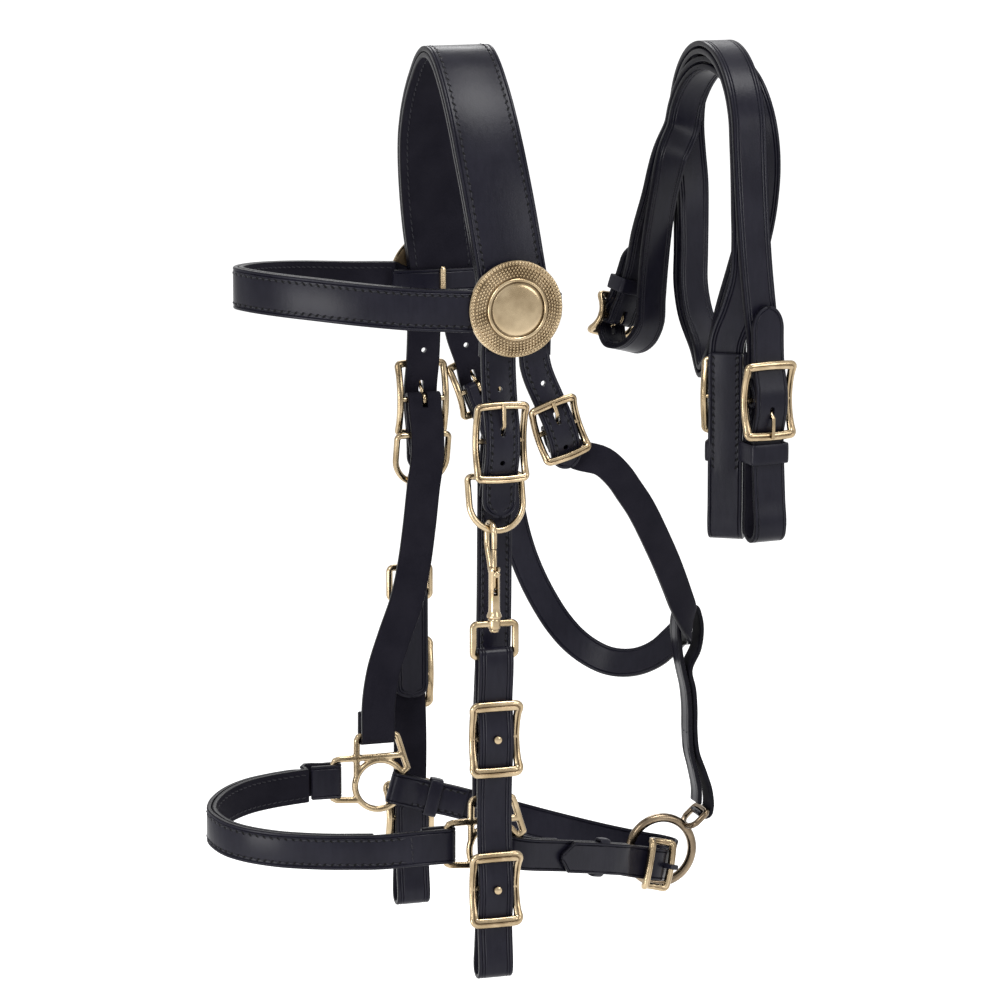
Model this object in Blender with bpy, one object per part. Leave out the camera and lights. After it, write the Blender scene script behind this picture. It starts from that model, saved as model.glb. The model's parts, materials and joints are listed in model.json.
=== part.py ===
"""Halter bridle with clip-on bit hangers and a pair of reins, black leather and brass.

The bridle hangs from the underside of its crown, which is the origin. The horse faces -Y, its left
(near) side is at +X and +Z is up. The reins hang folded beside the bridle, behind it at +Y.
All sizes are in metres.
"""

from dataclasses import dataclass, replace
from math import copysign, cos, pi, radians, sin, sqrt

import bmesh
import bpy
from mathutils import Vector

for old in list(bpy.data.objects):
    bpy.data.objects.remove(old, do_unlink=True)

# Leather
CLEARANCE = 0.0003          # gap between pieces that lie on each other
LAYER = 0.0030              # one layer of the crown and of the rein
CHAPE = 0.0022              # leather thinned where it is folded round a bar
BAND = 0.0026               # one layer of the browband and of the noseband
CROWN_WIDTH = 0.0360        # over the poll
LEG_WIDTH = 0.0380          # crown beside the ears, down to the split
FRONT_BILLET_WIDTH = 0.0188
REAR_BILLET_WIDTH = 0.0168
BROWBAND_WIDTH = 0.0222
BROW_LOOP_WIDTH = 0.0130    # loop that the crown runs through
STRAP_WIDTH = 0.0190        # halter cheeks, bit hangers and noseband
CHIN_WIDTH = 0.0175
THROAT_WIDTH = 0.0160
JAW_WIDTH = 0.0130
REIN_WIDTH = 0.0190

# Crown arch: height of the ear arch, half its spread, and how far it leans back
ARCH_HALF = 0.0640          # middle of the leather, beside the rosette
ROSETTE_DROP = 0.1240       # rosette centre below the origin
SPLIT_DROP = ROSETTE_DROP + 0.0260  # where the billets part
ROSETTE_BACK = 0.0110
ROSETTE_FORE = 0.0018         # how far the rosette sits in front of the strap's middle
FAR_LOWER = 0.0030           # how much lower the far rosette hangs

# Rosette
ROSETTE_RADIUS = 0.0256
ROSETTE_DISC = 0.0150       # flat polished middle
ROSETTE_THICK = 0.0052
ROSETTE_BAR_LENGTH = 0.0140
ROSETTE_BAR_RADIUS = 0.0020

# Buckles: wire frame with a middle bar, bowed so that the strap runs through it
WIRE = 0.00175              # wire radius of frames, rings and loops
BAR = 0.0015                # radius of a middle bar
TONGUE = 0.0010             # wire radius of a tongue
BOW = 0.0050                # how far the end bars stand out from the middle bar
SMALL_BOW = 0.0062          # the same on the short chin and rein centre buckles
CHEEK_BUCKLE = (0.0295, 0.0415)
THROAT_BUCKLE = (0.0270, 0.0320)
CHIN_BUCKLE = (0.0285, 0.0220)
REIN_BUCKLE = (0.0300, 0.0410)
CENTRE_BUCKLE = (0.0288, 0.0240)
CONWAY = (0.0284, 0.0408)
CORNER = 0.0030
PLAIN_HOLE = 0.0014         # radius of an unused hole
WORN_AT = 0.0066            # middle of the worn hole, beside the middle bar
STUD_RADIUS = 0.0014
STUD_REACH = 0.0030         # stud above the leather

# Cheek: distance of the buckle's middle bar from the middle plane, and its place
CHEEK_OUT = 0.0680
CHEEK_DROP = 0.1940
CHEEK_BACK = 0.0015
CHEEK_TAIL = 0.0412         # tip of the front billet below the middle bar
THROAT_DROP = 0.1890
THROAT_BACK = 0.0335
THROAT_TAIL = 0.0190
THROAT_LEAN = radians(18.0)

# D-ring under the cheek buckle
DEE_WIDTH = 0.0330
DEE_HEIGHT = 0.0325
DEE_TILT = radians(14.0)
DEE_BACK = 0.0000

# Bolt snap
SNAP_BACK = -0.0042
EYE_INSIDE = 0.0047         # inner radius of the hook's eye
HOOK_WIRE = 0.0016
BARREL_RADIUS = 0.0032
BARREL_LENGTH = 0.0273
BARREL_FLARE = 0.0040
BORE_RADIUS = 0.00175
BARREL_BELOW_EYE = 0.0165   # top of the barrel below the middle of the eye
BOLT_RADIUS = 0.0014
BOLT_LENGTH = 0.0205
SLOT_WIDTH = 0.0024
SLOT_LENGTH = 0.0150
KNOB_BELOW_TOP = 0.0033
KNOB_REACH = 0.0056
SPRING_TURNS = 6
SPRING_WIRE = 0.00032
SWIVEL_WIDTH = 0.0268
SWIVEL_HEIGHT = 0.0208
SWIVEL_PIN = 0.0014
SWIVEL_BOSS = 0.0034

# Bit hanger below the swivel loop, from the loop's lower bar
HANGER_LAYER = 0.0026
UPPER_CONWAY_DROP = 0.0442
LOWER_CONWAY_DROP = 0.1262
BIT_LOOP_DROP = 0.1762
BIT_LOOP_RADIUS = 0.0046
TAB = 0.0125                # end of the folded-back layer past a stud

# Nose fittings: ring with a slot above it and a slot before it
RING_RADIUS = 0.0140
FITTING_OUT = 0.0575
NEAR_FITTING = (0.0020, -0.4175)
FAR_FITTING = (-0.0280, -0.4080)
SLOT_RISE = 0.0160
SLOT_TOP = 0.0285
SLOT_FRONT = 0.0265
SLOT_LOW = -0.0070

# Chin
CHIN_RING_CENTRE = (0.1176, -0.4430)
CHIN_RING_RADIUS = 0.0175
CHIN_RING_WIRE = 0.0020
CHIN_BAR = (0.0170, 0.1055, -0.4450)
CHIN_BILLET = (0.0210, 0.0680)  # where the billet lies on the near strap, from the buckle
NEAR_CHIN_DROP = radians(12.8)
FAR_CHIN_DROP = radians(15.7)
KEEPER_THICK = 0.0016
EYE_WIDTH = 0.0208          # eye of the chin ring, across
EYE_LENGTH = 0.0130
EYE_TURN = radians(42.0)
JAW_TOP = (0.1320, -0.3190)

# Reins
REIN_TOP = 0.0038
REIN_ARCH = 0.0480
REIN_BIT_DROP = 0.2610
REIN_BUCKLE_DROP = 0.1830
REIN_LOOP = 0.0062          # half the depth of the loop that holds the bit
REIN_ACROSS = Vector((-0.12, 0.993, 0.0)).normalized()
REIN_FAR = Vector((-0.30, 0.954, 0.0)).normalized()  # the same below the far side of the bundle
REIN_TWIST = radians(-32.0)  # how far the far bit end is turned


@dataclass
class Station:
    """One cross-section of a strap: middle, direction across the strap, width and thickness."""

    point: Vector
    across: Vector
    width: float
    thick: float
    normal: Vector = None


@dataclass
class Frame:
    """Local axes at a bar: out from the horse, along the strap and across it."""

    origin: Vector
    out: Vector
    along: Vector
    across: Vector

    def at(self, out, along, across=0.0):
        return self.origin + self.out * out + self.along * along + self.across * across


def vec(x, y, z):
    return Vector((x, y, z))


def material(name, colour, roughness, metallic):
    """A plain Principled material."""
    made = bpy.data.materials.new(name)
    made.use_nodes = True
    shader = made.node_tree.nodes["Principled BSDF"]
    shader.inputs["Base Color"].default_value = (*colour, 1.0)
    shader.inputs["Roughness"].default_value = roughness
    shader.inputs["Metallic"].default_value = metallic
    return made


LEATHER = material("black_leather", (0.012, 0.012, 0.018), 0.42, 0.0)
BRASS = material("brass", (0.72, 0.52, 0.25), 0.25, 1.0)
STEEL = material("spring_steel", (0.45, 0.45, 0.47), 0.35, 1.0)


def make_object(name, mesh_data, finish, smooth=False):
    """An object from a bmesh, with its faces turned outwards."""
    bmesh.ops.recalc_face_normals(mesh_data, faces=mesh_data.faces)
    mesh = bpy.data.meshes.new(name)
    mesh_data.to_mesh(mesh)
    mesh_data.free()
    mesh.materials.append(finish)
    made = bpy.data.objects.new(name, mesh)
    bpy.context.scene.collection.objects.link(made)
    if smooth:
        mesh.shade_smooth()
        mesh.set_sharp_from_angle(angle=radians(40.0))
    return made


def combine(target, operand, operation):
    """Join or cut a target by an operand that is left out of the model."""
    operand.hide_render = True
    operand.display_type = "WIRE"
    step = target.modifiers.new(operand.name, "BOOLEAN")
    step.operation = operation
    step.solver = "EXACT"
    step.object = operand
    return target


def slopes(values, steps):
    """Slope at each knot, from its neighbours and the distances between them."""
    last = len(values) - 1
    found = []
    for index in range(last + 1):
        if index == 0:
            found.append((values[1] - values[0]) / steps[0])
        elif index == last:
            found.append((values[last] - values[last - 1]) / steps[last - 1])
        else:
            before, after = steps[index - 1], steps[index]
            left = (values[index] - values[index - 1]) / before
            right = (values[index + 1] - values[index]) / after
            found.append((left * after + right * before) / (before + after))
    return found


def flow(knots, step):
    """Stations on one smooth curve through the knots, about a step apart."""
    steps = [(b.point - a.point).length for a, b in zip(knots, knots[1:])]
    places = slopes([k.point for k in knots], steps)
    turns = slopes([k.across for k in knots], steps)
    made = []
    for index, (a, b) in enumerate(zip(knots, knots[1:])):
        count = max(1, round(steps[index] / step))
        for part in range(count):
            t = part / count
            h00 = 2 * t ** 3 - 3 * t ** 2 + 1
            h10 = t ** 3 - 2 * t ** 2 + t
            h01 = 3 * t ** 2 - 2 * t ** 3
            h11 = t ** 3 - t ** 2
            reach = steps[index]
            point = a.point * h00 + places[index] * (h10 * reach) + b.point * h01 + places[index + 1] * (h11 * reach)
            turn = a.across * h00 + turns[index] * (h10 * reach) + b.across * h01 + turns[index + 1] * (h11 * reach)
            width = a.width + (b.width - a.width) * t
            thick = a.thick + (b.thick - a.thick) * t
            made.append(Station(point, turn, width, thick))
    made.append(knots[-1])
    return made


def tapered(stations, length, at_start=False):
    """Round off a strap's end over a length, with the width of a half ellipse."""
    run = list(reversed(stations)) if at_start else list(stations)
    # The last stretch is cut into even steps, so that the rounded end is smooth
    total = 0.0
    keep = len(run) - 1
    while keep > 0 and total < length:
        total += (run[keep].point - run[keep - 1].point).length
        keep -= 1
    start = run[keep]
    end = run[-1]
    shares = (0.0, 0.35, 0.6, 0.8, 0.93, 1.0)
    made = run[:keep]
    for share in shares:
        point = start.point.lerp(end.point, share)
        across = start.across.lerp(end.across, share)
        width = start.width * sqrt(max(1.0 - share ** 2, 0.06))
        made.append(Station(point, across, width, start.thick))
    return list(reversed(made)) if at_start else made


def section_axes(stations):
    """Tangent, across and normal of each station."""
    axes = []
    last = len(stations) - 1
    for index, station in enumerate(stations):
        before = stations[max(index - 1, 0)].point
        after = stations[min(index + 1, last)].point
        tangent = (after - before).normalized()
        if station.normal:
            axes.append((tangent, station.across, station.normal))
            continue
        across = (station.across - tangent * station.across.dot(tangent)).normalized()
        axes.append((tangent, across, tangent.cross(across)))
    return axes


def squared(stations, across):
    """Stations of a band whose cross-sections all lie along one direction, so that layers nest."""
    return [replace(s, across=across, normal=t.cross(across).normalized())
            for s, (t, _, _) in zip(stations, section_axes(stations))]


def lifted(stations, lift):
    """The same stations moved along their normals, which they keep, so that layers stay parallel."""
    return [replace(s, point=s.point + n * lift, normal=n, across=a)
            for s, (_, a, n) in zip(stations, section_axes(stations))]


def ribbon(name, stations, lift=0.0, finish=LEATHER):
    """A flat strap through its stations, lifted along its normal by an amount."""
    data = bmesh.new()
    rows = []
    for station, (_, across, normal) in zip(stations, section_axes(stations)):
        middle = station.point + normal * lift
        wide = across * (station.width / 2)
        deep = normal * (station.thick / 2)
        corners = (middle + wide + deep, middle - wide + deep, middle - wide - deep, middle + wide - deep)
        rows.append([data.verts.new(corner) for corner in corners])
    for row, following in zip(rows, rows[1:]):
        for side in range(4):
            other = (side + 1) % 4
            data.faces.new((row[side], row[other], following[other], following[side]))
    data.faces.new(rows[0])
    data.faces.new(rows[-1])
    return make_object(name, data, finish)


def tube(name, points, radius, guide, closed=False, sides=6, finish=BRASS):
    """A round wire through points; guide is a direction that the wire never runs along."""
    data = bmesh.new()
    rows = []
    last = len(points) - 1
    radii = radius if isinstance(radius, list) else [radius] * len(points)
    for index, point in enumerate(points):
        before = points[index - 1] if index or closed else point
        after = points[(index + 1) % len(points)] if index < last or closed else point
        tangent = (after - before).normalized()
        first = (guide - tangent * guide.dot(tangent)).normalized()
        second = tangent.cross(first)
        ring = []
        for side in range(sides):
            angle = 2 * pi * (side + 0.5) / sides
            ring.append(data.verts.new(point + (first * cos(angle) + second * sin(angle)) * radii[index]))
        rows.append(ring)
    pairs = list(zip(rows, rows[1:]))
    if closed:
        pairs.append((rows[-1], rows[0]))
    for row, following in pairs:
        for side in range(sides):
            other = (side + 1) % sides
            data.faces.new((row[side], row[other], following[other], following[side]))
    if not closed:
        data.faces.new(rows[0])
        data.faces.new(rows[-1])
    return make_object(name, data, finish, smooth=True)


def lathe(name, origin, axis, profile, segments, finish=BRASS):
    """A turned solid: the profile runs from one point on the axis to another, as (radius, height)."""
    side = axis.orthogonal().normalized()
    other = axis.cross(side)
    data = bmesh.new()
    rows = []
    for radius, height in profile:
        centre = origin + axis * height
        if radius == 0.0:
            rows.append([data.verts.new(centre)])
            continue
        ring = []
        for index in range(segments):
            angle = 2 * pi * index / segments
            ring.append(data.verts.new(centre + (side * cos(angle) + other * sin(angle)) * radius))
        rows.append(ring)
    for row, following in zip(rows, rows[1:]):
        for index in range(segments):
            after = (index + 1) % segments
            if len(row) == 1:
                data.faces.new((row[0], following[index], following[after]))
            elif len(following) == 1:
                data.faces.new((row[index], row[after], following[0]))
            else:
                data.faces.new((row[index], row[after], following[after], following[index]))
    return make_object(name, data, finish, smooth=True)


def block(name, frame, low, high):
    """A box in a frame's axes, from its low to its high corner."""
    data = bmesh.new()
    verts = [data.verts.new(frame.at(o, a, c)) for o in (low[0], high[0]) for a in (low[1], high[1])
             for c in (low[2], high[2])]
    quads = ((0, 1, 3, 2), (4, 6, 7, 5), (0, 4, 5, 1), (2, 3, 7, 6), (0, 2, 6, 4), (1, 5, 7, 3))
    for quad in quads:
        data.faces.new([verts[i] for i in quad])
    return make_object(name, data, BRASS)


def arc(centre, radius, start, end, count):
    """Points of an arc in a section, as (out, along)."""
    steps = [start + (end - start) * i / count for i in range(count + 1)]
    return [(centre[0] + radius * cos(radians(a)), centre[1] + radius * sin(radians(a))) for a in steps]


def in_frame(frame, section, width, thick):
    """Stations of a strap whose section is drawn in a frame."""
    return [Station(frame.at(o, a), frame.across, width, thick) for o, a in section]


def rounded_loop(frame, width, height, corner, bow):
    """Points of a buckle's outline, bowed outwards towards its end bars."""
    half_wide = width / 2 - WIRE
    half_high = height / 2 - WIRE
    points = []
    for start, sign_c, sign_a in ((0, 1, 1), (90, -1, 1), (180, -1, -1), (270, 1, -1)):
        for part in range(3):
            angle = radians(start + 45 * part)
            c = sign_c * (half_wide - corner) + corner * cos(angle)
            a = sign_a * (half_high - corner) + corner * sin(angle)
            points.append((c, a))
        if start in (90, 270):
            side = -1 if start == 90 else 1
            points += [(side * half_wide, a * side) for a in (-0.45 * half_high, 0.0, 0.45 * half_high)]
    placed = []
    for c, a in points:
        placed.append(frame.at(bow * (a / half_high) ** 2, a, c))
    return placed


def buckle_frame(name, frame, size, bow=BOW, corner=CORNER):
    """A wire buckle with its middle bar on the frame's origin."""
    width, height = size
    made = tube(name, rounded_loop(frame, width, height, corner, bow), WIRE, frame.out, closed=True)
    reach = width / 2 - WIRE
    ends = [frame.at(0.0, 0.0, -reach), frame.at(0.0, 0.0, reach)]
    bar = tube(name + "_bar", ends, BAR, frame.out)
    return combine(made, bar, "UNION")


def tongue(name, frame, size, bow=BOW, up=-1.0):
    """A tongue that wraps the middle bar, comes through the leather and rests on an end bar."""
    turn = BAR + CLEARANCE + TONGUE
    half_high = size[1] / 2 - WIRE
    rest = bow + WIRE + CLEARANCE + TONGUE
    leather = BAR + CLEARANCE + CHAPE + CLEARANCE + LAYER
    section = [(o, a * -up) for o, a in arc((0.0, 0.0), turn, -110, -360, 7)]
    through = min(0.0092, half_high - 0.0010)
    section.append((turn + 0.0001, up * 0.0044))
    section.append((max(leather, rest) + TONGUE * 0.4, up * through))
    if half_high > 0.0120:
        section.append((rest + 0.0001, up * (half_high - WIRE * 0.6)))
    section.append((rest, up * (half_high + WIRE * 0.9)))
    points = [frame.at(o, a) for o, a in section]
    return tube(name, points, TONGUE, frame.across)


def bar_slot(name, frame, strap, length=0.0041):
    """The slot in a folded strap that the tongue swings in."""
    reach = BAR + CHAPE + 2 * CLEARANCE
    half = TONGUE + CLEARANCE * 2
    cutter = block(name, frame, (-reach - 0.001, -length - 0.0006, -half), (reach + 0.0004, length, half))
    return combine(strap, cutter, "DIFFERENCE")


def punch(name, frame, strap, along, half_along, half_across, low, high):
    """A round or oval hole through a strap, from a low to a high distance out."""
    data = bmesh.new()
    rows = []
    for out in (low, high):
        ring = []
        for index in range(6):
            angle = 2 * pi * (index + 0.5) / 6
            reach = half_along * copysign(sqrt(abs(cos(angle))), cos(angle))
            aside = half_across * copysign(sqrt(abs(sin(angle))), sin(angle))
            ring.append(data.verts.new(frame.at(out, along + reach, aside)))
        rows.append(ring)
    for index in range(6):
        after = (index + 1) % 6
        data.faces.new((rows[0][index], rows[0][after], rows[1][after], rows[1][index]))
    data.faces.new(rows[0])
    data.faces.new(rows[1])
    return combine(strap, make_object(name, data, LEATHER), "DIFFERENCE")


def tongue_holes(name, frame, strap, sign, others):
    """The long hole that the tongue comes through, and the plain holes beside it."""
    punch(name + "_worn", frame, strap, sign * WORN_AT, 0.0034, 0.0014, -0.002, 0.012)
    for number, place in enumerate(others):
        punch(f"{name}_{number}", frame, strap, place, PLAIN_HOLE, PLAIN_HOLE, -0.008, 0.012)


def billet_section(frame, start, size, tail):
    """A billet's run through a buckle: behind both end bars and over the middle bar."""
    half_high = size[1] / 2 - WIRE
    over = BAR + CLEARANCE + CHAPE + CLEARANCE + LAYER / 2
    under = BOW - WIRE - CLEARANCE - LAYER / 2
    section = [start, (under, -half_high), (over - 0.0003, -0.0052), (over, 0.0), (over - 0.0003, 0.0052),
               (under, half_high)]
    if tail > half_high + 0.010:
        section.append((under - 0.0008, half_high + 0.006))
    section.append((under - 0.0010, tail))
    return section


def cheek_frame(side):
    return Frame(vec(side * CHEEK_OUT, CHEEK_BACK, -CHEEK_DROP), vec(side, 0, 0), vec(0, 0, -1), vec(0, 1, 0))


def throat_frame(side):
    lean = THROAT_LEAN
    return Frame(vec(side * CHEEK_OUT, THROAT_BACK, -THROAT_DROP), vec(side, 0, 0),
                 vec(0, sin(lean), -cos(lean)), vec(0, cos(lean), sin(lean)))


def crown_knots():
    """The crown's middle line from the far split over the poll, flat at its top, to the near split."""
    inner = CLEARANCE / 2 + LAYER
    half = ((0.10, 0.0, 0.0), (0.23, 0.032, 0.0), (0.40, 0.107, 0.02), (0.60, 0.225, 0.05),
            (0.79, 0.40, 0.16), (0.91, 0.60, 0.40), (0.98, 0.82, 0.72), (1.0, 1.0, 1.0))
    knots = []
    for share, drop, back in half:
        point = vec(share * ARCH_HALF, back * ROSETTE_BACK, inner - drop * ROSETTE_DROP)
        width = CROWN_WIDTH + (LEG_WIDTH - CROWN_WIDTH) * min(1.0, drop * 2.2)
        knots.append(Station(point, vec(0, 1, 0), width, LAYER))
    low = vec(ARCH_HALF + 0.0004, ROSETTE_BACK, -SPLIT_DROP)
    knots.append(Station(low, vec(0, 1, 0), LEG_WIDTH, LAYER))
    other = [replace(k, point=vec(-k.point.x, k.point.y, k.point.z)) for k in knots]
    return list(reversed(other)) + knots


def crown():
    """Outer layer with its four billets, and the lining that ends at the splits."""
    stations = squared(flow(crown_knots(), 0.0120), vec(0, 1, 0))
    lift = (LAYER + CLEARANCE) / 2
    ribbon("crown_lining", stations, -lift)
    outer = ribbon("crown_outer", stations, lift)
    start_out = ARCH_HALF + lift - CHEEK_OUT
    for side, word in ((1, "near"), (-1, "far")):
        front = cheek_frame(side)
        shift = ROSETTE_BACK - LEG_WIDTH / 2 + FRONT_BILLET_WIDTH / 2
        start = (start_out, CHEEK_DROP - SPLIT_DROP)
        section = billet_section(front, (start[0], -start[1]), CHEEK_BUCKLE, CHEEK_TAIL)
        knots = in_frame(front, section, FRONT_BILLET_WIDTH, LAYER * 0.95)
        knots[0] = replace(knots[0], point=vec(side * (ARCH_HALF + lift + 0.0004), shift, -SPLIT_DROP + 0.004))
        knots.insert(1, replace(knots[0], point=knots[0].point + vec(side * 0.0002, 0, -0.008)))
        strap = ribbon("front_billet_" + word, tapered(flow(knots, 0.005), 0.008))
        tongue_holes("front_hole_" + word, front, strap, -1, (-0.0275, 0.0110))
        combine(outer, strap, "UNION")

        rear = throat_frame(side)
        shift = ROSETTE_BACK + LEG_WIDTH / 2 - REAR_BILLET_WIDTH / 2
        section = billet_section(rear, (start[0], 0), THROAT_BUCKLE, THROAT_TAIL + 0.002)
        knots = in_frame(rear, section, REAR_BILLET_WIDTH, LAYER * 0.95)
        top = vec(side * (ARCH_HALF + lift + 0.0004), shift - 0.0008, -SPLIT_DROP + 0.004)
        knots[0] = Station(top, vec(0, 1, 0), REAR_BILLET_WIDTH - 0.0008, LAYER * 0.95)
        knots.insert(1, replace(knots[0], point=top + vec(side * 0.0002, 0.0008, -0.008)))
        strap = ribbon("rear_billet_" + word, tapered(flow(knots, 0.005), 0.006))
        tongue_holes("rear_hole_" + word, rear, strap, -1, (-0.0255, 0.0100))
        combine(outer, strap, "UNION")


def brow_knots():
    """Browband between the crown legs: out beyond the forehead and back, far to near."""
    plan = ((1.058, -0.0150, -0.1246), (0.985, -0.0440, -0.1230), (0.84, -0.0690, -0.1208),
            (0.63, -0.0900, -0.1190), (0.34, -0.1100, -0.1177))
    near = [Station(vec(share * ARCH_HALF, y, z), vec(0, 0, 1), BROWBAND_WIDTH, BAND) for share, y, z in plan]
    front = Station(vec(0, -0.1205, -0.1173), vec(0, 0, 1), BROWBAND_WIDTH, BAND)
    far = [replace(k, point=vec(-k.point.x, k.point.y, k.point.z - FAR_LOWER * k.point.x / ARCH_HALF)) for k in near]
    return far + [front] + list(reversed(near))


def browband():
    """Two stitched layers; the outer one goes on round each crown leg as a loop."""
    body = squared(flow(brow_knots(), 0.011), vec(0, 0, 1))
    lift = (BAND + CLEARANCE) / 2
    ribbon("browband_lining", body, -lift)
    thick = 2 * LAYER + CLEARANCE
    out_run = ARCH_HALF + thick / 2 + 2 * CLEARANCE + BAND / 2
    in_run = ARCH_HALF - thick / 2 - CLEARANCE - BAND / 2
    rear = ROSETTE_BACK + LEG_WIDTH / 2 + 2 * CLEARANCE
    fore = ROSETTE_BACK - LEG_WIDTH / 2
    turn = (out_run - in_run) / 2
    middle = (out_run + in_run) / 2
    loop = [(out_run, fore + 0.004), (out_run, rear)]
    loop += [(o, rear + b) for o, b in arc((middle, 0.0), turn, 0, 180, 8)[1:-1]]
    loop += [(in_run, rear), (in_run, fore - 0.0015), (in_run + 0.0014, fore - 0.010)]

    def end(side):
        level = -ROSETTE_DROP - (FAR_LOWER if side < 0 else 0.0)
        return [Station(vec(side * o, y, level), vec(0, 0, 1), BROW_LOOP_WIDTH, BAND) for o, y in loop]

    ribbon("browband_outer", list(reversed(end(-1))) + lifted(body, lift) + end(1))


def rosettes():
    """Turned brass rosette outside each browband loop, and the bar that holds it inside."""
    thick = 2 * LAYER + CLEARANCE
    back = ARCH_HALF + thick / 2 + 3 * CLEARANCE + BAND
    inside = ARCH_HALF - thick / 2 - 2 * CLEARANCE - BAND
    r = ROSETTE_RADIUS
    t = ROSETTE_THICK
    profile = [(0.0, 0.0), (r * 0.97, 0.0), (r, t * 0.30), (r * 0.965, t * 0.55), (r * 0.86, t * 0.66),
               (r * 0.80, t * 0.60), (r * 0.74, t * 0.70), (ROSETTE_DISC * 1.08, t * 0.62),
               (ROSETTE_DISC, t * 0.90), (ROSETTE_DISC * 0.92, t), (0.0, t)]
    for side, word in ((1, "near"), (-1, "far")):
        level = -ROSETTE_DROP - (FAR_LOWER if side < 0 else 0.0)
        centre = vec(side * back, ROSETTE_BACK - ROSETTE_FORE, level)
        lathe("rosette_" + word, centre, vec(side, 0, 0), profile, 20)
        reach = ROSETTE_BAR_LENGTH / 2
        place = vec(side * (inside - ROSETTE_BAR_RADIUS), ROSETTE_BACK - ROSETTE_FORE, level + 0.001)
        points = [place + vec(0, 0, z) for z in (reach, reach * 0.8, -reach * 0.8, -reach)]
        radii = [ROSETTE_BAR_RADIUS * s for s in (0.6, 1.0, 1.0, 0.6)]
        tube("rosette_bar_" + word, points, radii, vec(0, 1, 0), sides=8)


def dee_place(side):
    """Frame at the D-ring's straight bar; along runs down the ring's tilted plane."""
    out = BOW - WIRE - 3 * CLEARANCE - LAYER - CHAPE - WIRE
    place = cheek_frame(side).at(out, CHEEK_BUCKLE[1] / 2 - WIRE + 0.0002)
    place.y = DEE_BACK
    tilt = DEE_TILT
    return Frame(place, vec(side * cos(tilt), 0, sin(tilt)), vec(side * sin(tilt), 0, -cos(tilt)), vec(0, 1, 0))


def dees():
    """D-rings, open loops of wire with a straight top bar."""
    for side, word in ((1, "near"), (-1, "far")):
        frame = dee_place(side)
        half = DEE_WIDTH / 2 - WIRE
        depth = DEE_HEIGHT - 2 * WIRE
        corner = 0.0022
        points = [(half - corner, 0.0), (-half + corner, 0.0)]
        points += [(-half + corner - corner * sin(radians(a)), corner - corner * cos(radians(a))) for a in (30, 60, 90)]
        points += [(-half * cos(radians(a)), depth - half + half * sin(radians(a))) for a in range(0, 181, 18)]
        points += [(half - corner + corner * sin(radians(a)), corner - corner * cos(radians(a))) for a in (90, 60, 30)]
        placed = [frame.at(0.0, a, c) for c, a in points]
        tube("dee_" + word, placed, WIRE, frame.out, closed=True)


def halter_cheeks():
    """Stitched strap, folded round the cheek buckle's bar and the D-ring's bar, down to the nose fitting."""
    for side, word in ((1, "near"), (-1, "far")):
        frame = cheek_frame(side)
        dee = dee_place(side)
        dee_out = (dee.origin - frame.origin).dot(frame.out)
        dee_along = (dee.origin - frame.origin).dot(frame.along)
        turn = BAR + CLEARANCE + CHAPE / 2
        past = WIRE + CLEARANCE + CHAPE / 2
        inner = dee_out - past
        outer_end = inner + CHAPE + CLEARANCE
        section = [(outer_end, dee_along + 0.0110), (outer_end + 0.0003, dee_along + 0.0075),
                   (dee_out + past - 0.0002, dee_along + 0.0022), (dee_out + past, dee_along),
                   (dee_out + past + 0.0012, dee_along - 0.0040), (turn - 0.0012, 0.0060), (turn, 0.0020)]
        section += arc((0.0, 0.0), turn, 0, -180, 6)
        section += [(-turn, 0.0020), (-turn - 0.0012, 0.0070), (inner + 0.0004, dee_along - 0.0040),
                    (inner, dee_along), (inner - 0.0003, dee_along + 0.0090)]
        upper = in_frame(frame, section, STRAP_WIDTH, CHAPE)
        ring = NEAR_FITTING if side > 0 else FAR_FITTING
        fitting = fitting_frame(side)
        bar = fitting.at(0.0, -SLOT_TOP, -0.0015)
        fold = WIRE + CLEARANCE + LAYER / 2
        lean = vec(0, 1, 0)
        slant = ring[0] - 0.0015 - frame.origin.y
        middle = vec(side * (FITTING_OUT + 0.0010), frame.origin.y + slant * 0.42, -0.305)
        low = bar + vec(-side * fold, 0, 0.014)
        lower = [Station(middle, lean, STRAP_WIDTH, LAYER),
                 Station(low + vec(side * 0.0002, -slant * 0.10, 0.022), lean, STRAP_WIDTH, LAYER),
                 Station(low, lean, STRAP_WIDTH, LAYER),
                 Station(bar + vec(-side * fold, 0, 0.003), lean, STRAP_WIDTH, LAYER)]
        run = flow(upper[-1:] + lower, 0.020)
        fold_points = [bar + vec(-side * fold * cos(radians(a)), 0, -fold * sin(radians(a))) for a in range(0, 181, 30)]
        fold_points.append(bar + vec(side * fold, 0, 0.006))
        fold_points.append(bar + vec(side * (fold - 0.0002), 0, 0.013))
        fold_run = [Station(p, lean, STRAP_WIDTH, LAYER) for p in fold_points]
        stations = upper[:-1] + run + fold_run
        strap = ribbon("halter_cheek_" + word, stations)
        bar_slot("cheek_slot_" + word, frame, strap)


def fitting_frame(side):
    """Frame at a nose fitting's ring: along runs down, across runs back."""
    back, height = NEAR_FITTING if side > 0 else FAR_FITTING
    return Frame(vec(side * FITTING_OUT, back, height), vec(side, 0, 0), vec(0, 0, -1), vec(0, 1, 0))


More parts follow.
